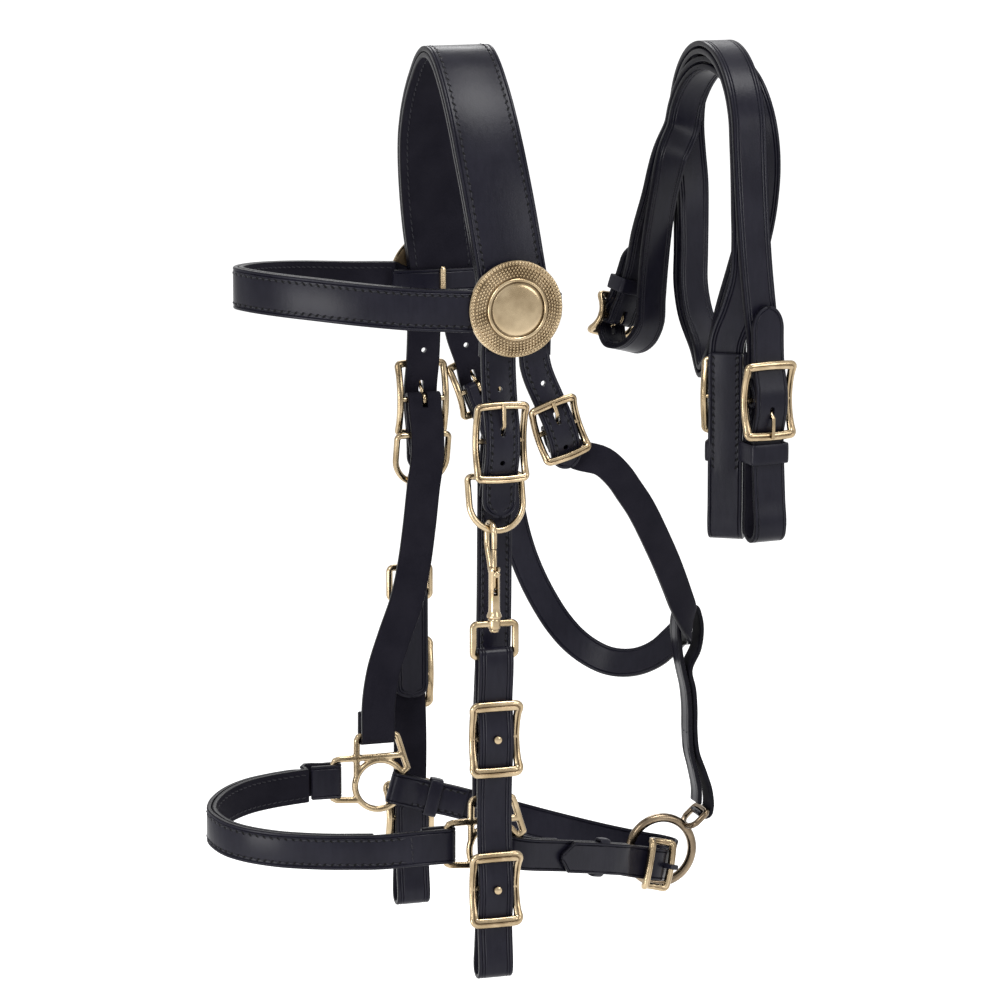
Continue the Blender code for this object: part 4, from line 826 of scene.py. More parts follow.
    @classmethod
    def scatter(cls, rest: np.ndarray, polygons: Sequence[list[int]], origins: np.ndarray,
                turns: np.ndarray) -> Piece:
        """Copies one small shape to many places.

        Args:
            rest: the shape's points.
            polygons: its faces.
            origins: where each copy goes.
            turns: each copy's axes as rows.

        Returns:
            One object with all copies.
        """
        placed = np.einsum("pk,nkj->npj", rest, turns) + origins[:, None]
        faces = []
        for index, turn in enumerate(turns):
            start = index * len(rest)
            order = 1 if np.linalg.det(turn) > 0 else -1
            faces += [[start + corner for corner in polygon[::order]] for polygon in polygons]
        mesh = bpy.data.meshes.new("copies")
        mesh.from_pydata(placed.reshape(-1, 3).tolist(), [], faces)
        made = bpy.data.objects.new("copies", mesh)
        bpy.context.scene.collection.objects.link(made)
        return cls.outward(made)


# Leather


@dataclass
class Run:
    """The finely divided run of a strap: its middle line with directions, width and thickness."""

    point: np.ndarray
    across: np.ndarray
    normal: np.ndarray
    width: np.ndarray
    thick: np.ndarray

    @property
    def reach(self) -> np.ndarray:
        """Distance of each station from the start, along the strap."""
        return travelled(self.point)

    @property
    def columns(self) -> np.ndarray:
        """Everything in one table, a row for each station."""
        return np.column_stack([self.point, self.across, self.normal, self.width, self.thick])

    @classmethod
    def of_columns(cls, rows: np.ndarray) -> Run:
        """The run of such a table."""
        return cls(rows[:, 0:3], unit(rows[:, 3:6]), unit(rows[:, 6:9]), rows[:, 9], rows[:, 10])

    @classmethod
    def of(cls, stations: Sequence[Station], level: bool) -> Run:
        """The fine run on a smooth curve through stations, with its normals towards the grain side.

        Args:
            stations: the strap's stations.
            level: whether their directions across stay as they are, so that layers nest.

        Returns:
            The run. The grain side is outside in the tightest folds.
        """
        rows = [(*s.point, *across, *normal, s.width, s.thick)
                for s, (_, across, normal) in zip(stations, axes(stations))]
        made = cls.of_columns(np.array(rows)).refined()
        tangent = unit(np.gradient(made.point, made.reach, axis=0))
        across = made.across
        if not level:
            across = unit(across - tangent * np.einsum("ij,ij->i", across, tangent)[:, None])
        made = replace(made, across=across, normal=unit(np.cross(tangent, across)))
        return made.turned() if made.hollow() else made

    def refined(self) -> Run:
        """The same run with more stations, as close as its bends ask for."""
        columns = self.columns
        gaps = np.maximum(np.diff(self.reach), 1e-6)
        rises = np.array(slopes(columns, gaps))
        rises[:, 9:] = 0.0
        made = []
        for i, gap in enumerate(gaps):
            bend = np.degrees(np.arccos(np.clip(self.normal[i] @ self.normal[i + 1], -1.0, 1.0)))
            count = max(1, ceil(gap / STATION_STEP), ceil(bend / STATION_TURN))
            made.append(eased(columns[i:i + 2], rises[i:i + 2], gap, (np.arange(count) / count)[:, None]))
        return Run.of_columns(np.concatenate([*made, columns[-1:]]))

    def hollow(self) -> bool:
        """Whether the normals point into the tightest folds, and so to the flesh side."""
        tangent = unit(np.diff(self.point, axis=0))
        gaps = np.maximum(np.diff(self.reach), 1e-5)
        bends = np.diff(tangent, axis=0) / ((gaps[1:] + gaps[:-1]) / 2)[:, None]
        towards = np.einsum("ij,ij->i", bends, self.normal[1:-1])
        return float(np.sum(towards * np.abs(towards) * gaps[1:])) > 0

    def turned(self) -> Run:
        """The same run with its other side out."""
        return replace(self, normal=-self.normal, across=-self.across)

    def reversed(self) -> Run:
        """The same run from its other end."""
        return Run.of_columns(self.columns[::-1])

    def tipped(self, length: float) -> Run:
        """The run with the stations that a rounded tip at its end needs."""
        table = self.reach
        start = table[-1] - length
        kept = table[table < start - 0.0005]
        return self.at(np.concatenate([kept, start + length * np.sin(np.radians(np.arange(0, 85, 7)))]))

    def at(self, reaches: np.ndarray) -> Run:
        """The run's stations at given distances from its start."""
        table = self.reach
        return Run.of_columns(np.array([np.interp(reaches, table, column) for column in self.columns.T]).T)


@dataclass(frozen=True)
class Work:
    """How a strap is finished.

    Distances along it count from its start, or from its end if they are negative.
    """

    seam: float = 0.0                       # distance of the stitches from the edges
    stitched: tuple = ((0.0, -0.0),)        # stretches with stitches
    crossings: tuple = ()                   # rows of stitches across
    grain_rows: bool = True                 # whether the stitches show on the grain side
    flesh_rows: bool = True                 # and on the other side
    creases: tuple = (0.0017,)              # distances of creased lines from the edges
    tip: float = 0.0                        # length of a rounded tip at the end
    tail: float = 0.0                       # length of a rounded tip at the start
    rounding: float = 0.00075               # radius of the grain side's edge
    blunt: bool = False                     # whether the end caps stay sharp
    lined: bool = False                     # whether both sides have a grain and creases
    inward: bool = False                    # whether the grain lies inside the tightest folds
    pointed: bool = False                   # whether the tip is pointed, not round


class Strap:
    """A strap of leather, with its stitches."""

    crease = (0.00046, 0.00044)         # half the width of a creased line, and its depth
    channel = (0.00085, 0.00018)        # the same of the channel that the stitches lie in
    end_round = 0.0006                  # bevel of its ends
    least_half = 0.0004                 # of the width at the end of a tip
    shallow = 0.0012                    # a groove nearer than this to the middle line gets shallower
    stitch = (0.00038, 0.00036, PITCH * 0.42)       # half its sizes: aside, up and along
    slant = 0.16                        # of a stitch, against the seam
    rise = 0.00016                      # how far its middle stands out
    dip = 0.0005                       # how far its ends sink in

    def __init__(self, stations: Sequence[Station], work: Work, level: bool = False) -> None:
        """Lays out the strap's run.

        Args:
            stations: its stations.
            work: how it is finished.
            level: whether it is one of several nesting layers.
        """
        self.work = work
        run = Run.of(stations, level)
        if work.inward:
            run = run.turned()
        if work.tip:
            run = run.tipped(work.tip)
        if work.tail:
            run = run.reversed().tipped(work.tail).reversed()
        self.run = run

    def spread(self, inset: float) -> np.ndarray:
        """Distance from the middle line of a line that keeps its distance from the strap's edges.

        Args:
            inset: that distance from the edges.

        Returns:
            The distance at each station; 0 past a rounded tip's turning point.
        """
        half = self.run.width / 2
        reach = self.run.reach
        wide = half - inset
        for length, left in ((self.work.tip, reach[-1] - reach), (self.work.tail, reach)):
            if length:
                share = np.clip((length - left) / max(length - inset, 1e-6), 0.0, 1.0)
                narrowed = 1.0 - 0.8 * share if self.work.pointed else np.sqrt(1.0 - share ** 2)
                wide = np.minimum(wide, (half - inset) * narrowed)
        return wide

    def stretches(self) -> np.ndarray:
        """Whether each station is stitched."""
        reach = self.run.reach
        found = np.zeros(len(reach), bool)
        for start, end in self.work.stitched:
            low, high = (place + (reach[-1] if copysign(1.0, place) < 0 else 0.0) for place in (start, end))
            found |= (reach >= low) & (reach <= high)
        return found

    def seam_lines(self) -> list[tuple[np.ndarray, np.ndarray]]:
        """For each side the seam's distance from the middle, and its length so far at each station."""
        spreads = [self.spread(self.work.seam) * sign for sign in (1.0, -1.0)]
        return [(s, travelled(self.run.point + self.run.across * s[:, None])) for s in spreads]

    def build(self) -> Piece:
        """The leather's mesh, closed, with its material slots in the order of Face."""
        run, work = self.run, self.work
        half = self.spread(0.0)
        stitched = self.stretches()
        sewn = self.seam_lines() if work.seam else []
        lines = [(self.spread(c), *self.crease, None) for c in work.creases]
        if sewn:
            lines.append((sewn[0][0], *self.channel, stitched))
        lines.sort(key=lambda line: float(line[0].max()))
        last = len(half) - 1
        order = [(i, 0.0, 0.0) for i in range(last + 1)]
        if not work.blunt:
            cap = self.end_round
            order = [(0, cap, 0.0), (0, 0.0, cap), *order[1:-1], (last, 0.0, cap), (last, cap, 0.0)]
        rings = []
        charts = []
        for index, inset, push in order:
            wide, deep = max(half[index] - inset, self.least_half), run.thick[index] / 2 - inset
            points = self._half_section(index, wide, deep, lines)
            ring = points + [(-x, y) for x, y in points[-2:0:-1]]
            toward = run.point[1] - run.point[0] if index == 0 else run.point[-2] - run.point[-1]
            middle = run.point[index] + unit(toward) * push
            rings.append([middle + run.across[index] * x + run.normal[index] * y for x, y in ring])
            row = [(1.0, 0.0)] * len(ring)
            if sewn and stitched[index] and sewn[0][0][index] > self.least_half:
                row = [(abs(x) - sewn[0][0][index], sewn[0 if x >= 0 else 1][1][index]) for x, _ in ring]
            charts.append(row + row[:1])
        lower = [Face.GRAIN] * (1 + 3 * len(lines)) if work.lined else [Face.FLESH] * 2
        columns = [Face.GRAIN] * (2 + 3 * len(lines)) + [Face.EDGE] * 5 + lower
        return Bench.roll(np.array(rings), False, columns + columns[::-1], np.array(charts))

    def _half_section(self, index: int, wide: float, deep: float, lines: Sequence[tuple]) -> list[Pair]:
        """Half of the section at a station, from the middle of the grain side round to the flesh side.

        Args:
            index: the station.
            wide, deep: half its width and thickness.
            lines: creases and channels as (distance from the middle, half width, depth, where they are).

        Returns:
            Its points as (across, up).
        """
        corner = min(self.work.rounding, deep * 0.8, wide * 0.4)
        edge = wide - corner
        marks = []
        for spread, half, depth, where in lines:
            place = spread[index]
            shown = depth * min(1.0, max(place, 0.0) / self.shallow) if where is None or where[index] else 0.0
            marks += [(place - half, 0.0), (place, shown), (place + half, 0.0)]
        grooves = []
        for number, (place, depth) in enumerate(marks):
            room = edge * (1.0 - 0.02 * (len(marks) - number))
            grooves.append((max(min(place, room), 0.00003 * (number + 1)), deep - depth))
        small = corner * 0.7
        lower = [(x, -y) for x, y in reversed(grooves)] if self.work.lined else [(edge * 0.7, -deep)]
        return [(0.0, deep), *grooves, *arc((edge, deep - corner), corner, 90, 0, 3),
                *arc((wide - small, small - deep), small, 0, -90, 2), *lower, (0.0, -deep)]

    def thread(self) -> Piece | None:
        """The thread of all rows, as one mesh of separate stitches, if it has any."""
        origins: list[np.ndarray] = []
        turns: list[np.ndarray] = []

        def add(point: np.ndarray, along: np.ndarray, up: np.ndarray, hand: float) -> None:
            """Notes one stitch: its middle, its direction, the side it shows on and the way it slants."""
            origins.append(point)
            turns.append(np.array([np.cross(up, along) * hand, up, along]))

        run, work = self.run, self.work
        stitched = self.stretches()
        for hand, (offset, travel) in zip((1.0, -1.0), self.seam_lines() if work.seam else ()):
            line = run.point + run.across * offset[:, None]
            for place in np.arange(1, int(travel[-1] / PITCH)) * PITCH:
                index = min(int(np.searchsorted(travel, place)), len(travel) - 1)
                away = float(np.interp(place, travel, offset))
                if not (stitched[index] and stitched[index - 1]) or abs(away) < self.end_round:
                    continue
                row = np.array([np.interp(place, travel, column) for column in run.columns.T])
                across, normal = unit(row[3:6]), unit(row[6:9])
                along = unit(line[index] - line[index - 1])
                middle = row[0:3] + across * away
                if work.grain_rows:
                    add(middle + normal * (row[10] / 2 - self.channel[1]), along, normal, hand)
                if work.flesh_rows:
                    add(middle - normal * (row[10] / 2), along, -normal, -hand)
        for crossing in work.crossings:
            row = run.at(np.array([crossing if crossing > 0 else run.reach[-1] + crossing]))
            reach = row.width[0] / 2 - work.seam * 0.8
            count = round(2 * reach / PITCH)
            for number in range(count):
                place = row.point[0] + row.across[0] * ((number + 0.5) / count * 2 - 1) * reach
                add(place + row.normal[0] * row.thick[0] / 2, row.across[0], row.normal[0], 1.0)
        if not origins:
            return None
        rest, polygons = Bench.ball()
        aside, up, along = (rest * self.stitch).T
        up = up + self.rise - self.dip * rest[:, 2] ** 4
        shape = np.stack([aside + along * self.slant, up, along], axis=1)
        return Bench.scatter(shape, polygons, np.array(origins), np.array(turns))


class Workshop:
    """Finishes pieces and puts them on their bodies in place of the frame's plain ones."""

    smooth_angle = 38.0     # up to which angle most faces shade smoothly

    def __init__(self, frame: dict) -> None:
        """Notes the frame's nodes and makes the finishes."""
        self.nodes = frame["nodes"]
        self.finishes = Finishes()

    def fit(self, piece: Piece, finish: Sequence[bpy.types.Material], node: str,
            replaced: bool = True, angle: float = smooth_angle, blend: tuple | None = None) -> None:
        """Dresses a piece and makes it ride with a node's body; with a blend, it is baked in place and rides
        on no body.

        Args:
            piece: the finished mesh.
            finish: its material slots.
            node: the node whose body it rides on.
            replaced: whether it stands for that node.
            angle: up to which angle its faces shade smoothly.
            blend: if given, the piece is baked in place and rides on no body; the node and points in it are
                not used.
        """
        self.dressed(piece, finish)
        Bench.select(piece)
        bpy.ops.object.shade_smooth_by_angle(angle=radians(angle))
        body = self.nodes[node]["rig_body"]
        if blend:
            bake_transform(piece)
        else:
            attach(piece, body)
        if replaced:
            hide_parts(node)
        log.info("%s: %d faces", piece.name, len(piece.data.polygons))

    @staticmethod
    def dressed(piece: Piece, finish: Sequence[bpy.types.Material]) -> Piece:
        """The piece with these material slots, if it had none."""
        if not piece.data.materials:
            for made in finish:
                piece.data.materials.append(made)
        return piece

    def leather(self, node: str, straps: Sequence[Strap], cutters: Sequence[Piece] = ()) -> None:
        """Builds a leather piece of the frame again, with its stitches.

        Args:
            node: its name there.
            straps: the straps that it is made of.
            cutters: its holes and slots.
        """
        leather = self.finishes.leather
        piece = Bench.join("leather_" + node, [self.dressed(strap.build(), leather) for strap in straps])
        for cutter in cutters:
            Bench.cut(piece, cutter)
        self.fit(piece, leather, node)
        rows = [thread for thread in (strap.thread() for strap in straps) if thread]
        if rows:
            self.fit(Bench.join("stitches_" + node, rows), self.finishes.thread, node, False)

    def strap(self, node: str, stations: Sequence[Station], work: Work,
              cutters: Sequence[Piece] = ()) -> None:
        """Builds a piece that is a single strap."""
        self.leather(node, [Strap(stations, work)], cutters)

    def lining(self, node: str, band: Sequence[Station], thick: float, seam: float) -> None:
        """Builds the inner one of the two layers that lie on both sides of a band's stations.

        Args:
            node: its name in the frame.
            band: the stations between the layers.
            thick: the layer's thickness.
            seam: distance of its stitches from the edges.
        """
        work = Work(seam=seam, grain_rows=False, creases=())
        self.leather(node, [Strap(lifted(band, -(thick + CLEARANCE) / 2), work, True)])

    def brass(self, node: str, pieces: Sequence[Piece], angle: float = smooth_angle,
              finish: Sequence[bpy.types.Material] | None = None, blend: tuple | None = None) -> None:
        """Puts a fitting of the frame in its finished form.

        Args:
            node: its name there.
            pieces: its parts.
            angle: up to which angle its faces shade smoothly.
            finish: its material slots, if it isn't of the usual brass.
            blend: as for fit.
        """
        metals = finish or self.finishes.brass
        made = Bench.join("cast_" + node, [self.dressed(piece, metals) for piece in pieces])
        self.fit(made, metals, node, True, angle, blend)

    def buckle(self, names: str, shape: BuckleShape, place: Place, up: float = -1.0) -> None:
        """Puts a buckle's frame and its tongue in their finished form.

        Args:
            names: their names in the frame, with a gap for what they are.
            shape: the frame.
            place: axes at the middle bar.
            up: 1 if the tongue points along the place's axis, -1 if it points back.
        """
        self.brass(names.format("buckle"), shape.cast(place))
        self.brass(names.format("tongue"), [shape.tongue(place, up)])

# Head piece


@dataclass(frozen=True)
class BuckleShape:
    """A buckle's frame, a wire loop with ridged bars, bowed so that the strap runs through it."""

    width: float
    height: float
    bow: float = BOW
    corner: float = 0.0014
    arch: float = 0.0005        # how far the end bars bulge
    waist: float = 0.0          # how far the side bars draw in
    end_bar: float = 0.00205    # half the breadth of an end bar
    side_bar: float = 0.00185
    groove: float = 0.24        # depth of the groove in its bars, as a share of the radius
    step: float = 0.0022        # distance between the points of its middle line

    @property
    def half_high(self) -> float:
        """From the middle bar to the middle of an end bar."""
        return self.height / 2 - WIRE

    def outline(self) -> list[Pair]:
        """The loop's middle line, as (across, along)."""
        half_wide = self.width / 2 - WIRE
        rough = rounded(half_wide, -self.half_high, self.half_high, self.corner, 6)
        line = []
        for (c, a), (d, b) in zip(rough, rough[1:] + rough[:1]):
            count = max(1, round(sqrt((d - c) ** 2 + (b - a) ** 2) / self.step))
            line += [(c + (d - c) * i / count, a + (b - a) * i / count) for i in range(count)]
        shaped = []
        for c, a in line:
            end = max(0.0, 1.0 - (c / half_wide) ** 2) if abs(a) > self.half_high - self.corner * 0.4 else 0.0
            side = max(0.0, 1.0 - (a / self.half_high) ** 2)
            shaped.append((c * (1.0 - self.waist * side), a + copysign(self.arch * end, a)))
        return shaped

    def cast(self, place: Place) -> list[Piece]:
        """The frame and its middle bar, at the axes of that bar."""
        line = self.outline()
        points = [place.at(self.bow * (a / self.half_high) ** 2, a, c) for c, a in line]
        sizes = []
        for _, a in line:
            share = min(1.0, max(0.0, (abs(a) / self.half_high - 0.72) / 0.24))
            aside = self.side_bar + (self.end_bar - self.side_bar) * share
            sizes.append((WIRE * (0.92 + 0.08 * share), aside))
        reach = self.width / 2 - WIRE
        ends = [place.at(0.0, 0.0, c) for c in (-reach, -reach * 0.5, 0.0, reach * 0.5, reach)]
        frame = Bench.wire(points, sizes, place.out, True, 20, 0.45, self.groove)
        return [frame, Bench.wire(ends, BAR, place.out)]

    def tongue(self, place: Place, up: float) -> Piece:
        """A tongue that wraps the middle bar, comes through the leather and rests on an end bar.

        Args:
            place: axes at the middle bar.
            up: 1 if the tongue points along the place's axis, -1 if it points back.

        Returns:
            The tongue.
        """
        turn = BAR + CLEARANCE + TONGUE * 0.9
        rest = self.bow + WIRE + CLEARANCE + TONGUE * 0.8
        outside = max(OVER + LAYER, rest)
        section = [(o, a * -up) for o, a in arc((0.0, 0.0), turn, -110, -360, 18)]
        through = min(0.0092, self.half_high - 0.001)
        section += [(turn + 0.0001, up * 0.0022), (turn + 0.0001, up * 0.0044),
                    (outside * 0.72, up * (through + 0.0044) / 2), (outside + TONGUE * 0.4, up * through)]
        if self.half_high > 0.012:
            section.append((rest + 0.0003, up * (through + self.half_high) / 2))
            section.append((rest + 0.0001, up * (self.half_high - WIRE * 0.6)))
        section.append((rest, up * (self.half_high + WIRE * 0.9)))
        points = [place.at(o, a) for o, a in section]
        return Bench.wire(points, (TONGUE * 0.98, TONGUE * 0.85), place.across, False, 12, 0.6)


CHEEK_BUCKLE = BuckleShape(0.0295, 0.0415, arch=0.0007)
THROAT_BUCKLE = BuckleShape(0.027, 0.032, arch=0.0007)
CHIN_BUCKLE = BuckleShape(0.0285, 0.022, SMALL_BOW, groove=0.16)
REIN_BUCKLE = BuckleShape(0.03, 0.041, end_bar=0.0024, side_bar=0.0021)
CENTRE_BUCKLE = BuckleShape(0.0288, 0.024, SMALL_BOW)


def bar_slot(place: Place) -> Piece:
    """The cutter of the slot in a folded strap that the tongue swings in."""
    reach = BAR + CHAPE + 2 * CLEARANCE
    half = TONGUE + CLEARANCE * 2
    return Bench.box(place, (-reach - 0.001, -0.0047, -half), (reach + 0.0004, 0.0041, half))


def tongue_holes(place: Place, sign: float, others: Sequence[float]) -> list[Piece]:
    """Cutters of the long hole that the tongue comes through and of the plain holes beside it."""
    worn = Bench.punch(place, sign * WORN_AT, 0.0034, 0.0014, -0.002)
    return [worn] + [Bench.punch(place, along, 0.0014, 0.0014) for along in others]


def billet_section(buckle: BuckleShape, tail: float) -> list[Pair]:
    """A billet's run through a buckle, behind both end bars and over the middle bar, to its tip at tail."""
    half_high = buckle.half_high
    over = OVER + LAYER / 2
    under = UNDER - LAYER / 2
    section = [(under, -half_high), (over - 0.0003, -0.0052), (over, 0.0), (over - 0.0003, 0.0052),
               (under, half_high)]
    if tail > half_high + 0.01:
        section.append((under - 0.0008, half_high + 0.006))
    return [*section, (under - 0.001, tail)]


def fold_section() -> list[Pair]:
    """A strap's end folded round a middle bar, from its cut end outside to the layer inside."""
    end = -0.0044 + CHAPE + 2 * CLEARANCE
    return [(end, 0.0115), (-0.0006, 0.0088), (FOLD - 0.0009, 0.0048), (FOLD, 0.0015),
            *arc((0.0, 0.0), FOLD, 0, -180, 6), (-FOLD, 0.0015), (-0.0038, 0.006), (-0.0044, 0.014)]


def cheek_place(side: Side) -> Place:
    """Axes at a cheek buckle's middle bar."""
    return side_place(side, 0.068, 0.0015, -0.194)


def throat_place(side: Side) -> Place:
    """Axes at a throat buckle's middle bar, which leans back."""
    lean = radians(18.0)
    upright = side_place(side, 0.068, 0.0335, -0.189)
    return replace(upright, along=vec(0, sin(lean), -cos(lean)), across=vec(0, cos(lean), sin(lean)))


@dataclass(frozen=True)
class HeadPiece:
    """Crown with its billets, browband and rosettes."""

    crown_width: float = 0.036
    leg_width: float = 0.038
    front_billet: float = 0.0188
    rear_billet: float = 0.0168
    arch_half: float = 0.064
    rosette_drop: float = 0.124
    rosette_back: float = 0.011
    rosette_fore: float = 0.0018    # how far the rosette sits in front of the strap's middle
    far_lower: float = 0.003       # how much lower the far rosette hangs
    split_below_rosette: float = 0.026
    cheek_tail: float = 0.0412
    throat_tail: float = 0.0205
    brow_width: float = 0.0222
    brow_loop: float = 0.013

    @property
    def split_drop(self) -> float:
        """Where the billets part, below the poll."""
        return self.rosette_drop + self.split_below_rosette

    def crown_knots(self) -> list[Station]:
        """The crown's middle line from the far split over the poll, flat at its top, to the near split."""
        inner = CLEARANCE / 2 + LAYER
        half = ((0.1, 0.0, 0.0), (0.23, 0.032, 0.0), (0.4, 0.107, 0.02), (0.6, 0.225, 0.05),
                (0.79, 0.4, 0.16), (0.91, 0.6, 0.4), (0.98, 0.82, 0.72), (1.0, 1.0, 1.0))
        knots = []
        for share, drop, back in half:
            point = vec(share * self.arch_half, back * self.rosette_back, inner - drop * self.rosette_drop)
            width = self.crown_width + (self.leg_width - self.crown_width) * min(1.0, drop * 2.2)
            knots.append(Station(point, BACK, width, LAYER))
        low = vec(self.arch_half + 0.0004, self.rosette_back, -self.split_drop)
        knots.append(Station(low, BACK, self.leg_width, LAYER))
        return mirrored(knots) + knots

    def billet(self, side: Side, front: bool) -> list[Station]:
        """A billet's stations, from just above the split to its tip."""
        place = cheek_place(side) if front else throat_place(side)
        buckle = CHEEK_BUCKLE if front else THROAT_BUCKLE
        width = self.front_billet if front else self.rear_billet
        tail = self.cheek_tail if front else self.throat_tail + 0.002
        hand = -1 if front else 1
        shift = self.rosette_back + hand * (self.leg_width - width) / 2
        out = self.arch_half + (LAYER + CLEARANCE) / 2 + 0.0004
        knots = place.strap(billet_section(buckle, tail), width, LAYER * 0.95)
        drift = 0.0 if front else 0.0008
        top = vec(side.value * out, shift - drift, -self.split_drop + 0.004)
        first = Station(top, BACK, width - drift, LAYER * 1.012)
        below = replace(first, point=top + vec(side.value * 0.0002, drift, -0.008), width=width)
        return flow([first, below, *knots], 0.005)

    def brow_body(self) -> list[Station]:
        """The browband between the crown legs: out beyond the forehead and back, far to near."""
        plan = ((1.058, -0.015, -0.1246), (0.985, -0.044, -0.123), (0.84, -0.069, -0.1208),
                (0.63, -0.09, -0.119), (0.34, -0.11, -0.1177))
        near = course([vec(share * self.arch_half, y, z) for share, y, z in plan], UP, self.brow_width, BAND)
        front = replace(near[0], point=vec(0, -0.1205, -0.1173))
        lower = self.far_lower / self.arch_half
        far = [replace(k, point=vec(-k.point.x, k.point.y, k.point.z - lower * k.point.x)) for k in near]
        return squared(flow([*far, front, *reversed(near)], 0.011), UP)

    def rosette_level(self, side: Side) -> float:
        """Height of a rosette's middle."""
        return -self.rosette_drop - (self.far_lower if side is Side.FAR else 0.0)

    def brow_end(self, side: Side) -> list[Station]:
        """The loop at one of the browband's ends, round the crown's leg."""
        thick = 2 * LAYER + CLEARANCE
        out_run = self.arch_half + thick / 2 + 2 * CLEARANCE + BAND / 2
        in_run = self.arch_half - thick / 2 - CLEARANCE - BAND / 2
        rear = self.rosette_back + self.leg_width / 2 + 2 * CLEARANCE
        fore = self.rosette_back - self.leg_width / 2
        turn = (out_run - in_run) / 2
        middle = (out_run + in_run) / 2
        loop = [(out_run, fore + 0.004), (out_run, rear)]
        loop += [(o, rear + b) for o, b in arc((middle, 0.0), turn, 0, 180, 8)[1:-1]]
        loop += [(in_run, rear), (in_run, fore - 0.0015), (in_run + 0.0014, fore - 0.01)]
        level = self.rosette_level(side)
        return course([vec(side.value * o, y, level) for o, y in loop], UP, self.brow_loop, BAND)

    def build(self, shop: Workshop) -> None:
        """Makes the crown, the browband and the rosettes."""
        self._crown(shop)
        self._browband(shop)
        for side in Side:
            Rosette().build(shop, self, side)

    def _crown(self, shop: Workshop) -> None:
        """Outer layer with its four billets, and the lining that ends at the splits."""
        band = squared(flow(self.crown_knots(), 0.012), BACK)
        shop.lining("crown_lining", band, LAYER, 0.004)
        outer = lifted(band, (LAYER + CLEARANCE) / 2)
        straps = [Strap(outer, Work(seam=0.004, flesh_rows=False, blunt=True), True)]
        cutters = []
        for side in Side:
            for front, tip in ((True, 0.0094), (False, 0.008)):
                work = Work(seam=0.0034, tip=tip, stitched=((0.005, -0.0),), flesh_rows=False)
                straps.append(Strap(self.billet(side, front), work))
            cutters += tongue_holes(cheek_place(side), -1, (-0.0275, 0.011))
            cutters += tongue_holes(throat_place(side), -1, (-0.0255, 0.01))
        shop.leather("crown_outer", straps, cutters)

    def _browband(self, shop: Workshop) -> None:
        """Two stitched layers; the outer one goes on round each crown leg as a loop."""
        band = self.brow_body()
        shop.lining("browband_lining", band, BAND, 0.0032)
        near = self.brow_end(Side.NEAR)
        reach = sum((b.point - a.point).length for a, b in zip(near, near[1:])) + 0.004
        outer = [*reversed(self.brow_end(Side.FAR)), *lifted(band, (BAND + CLEARANCE) / 2), *near]
        work = Work(seam=0.0032, stitched=((reach, -reach),), crossings=(reach + 0.012,), flesh_rows=False)
        shop.strap("browband_outer", outer, work)


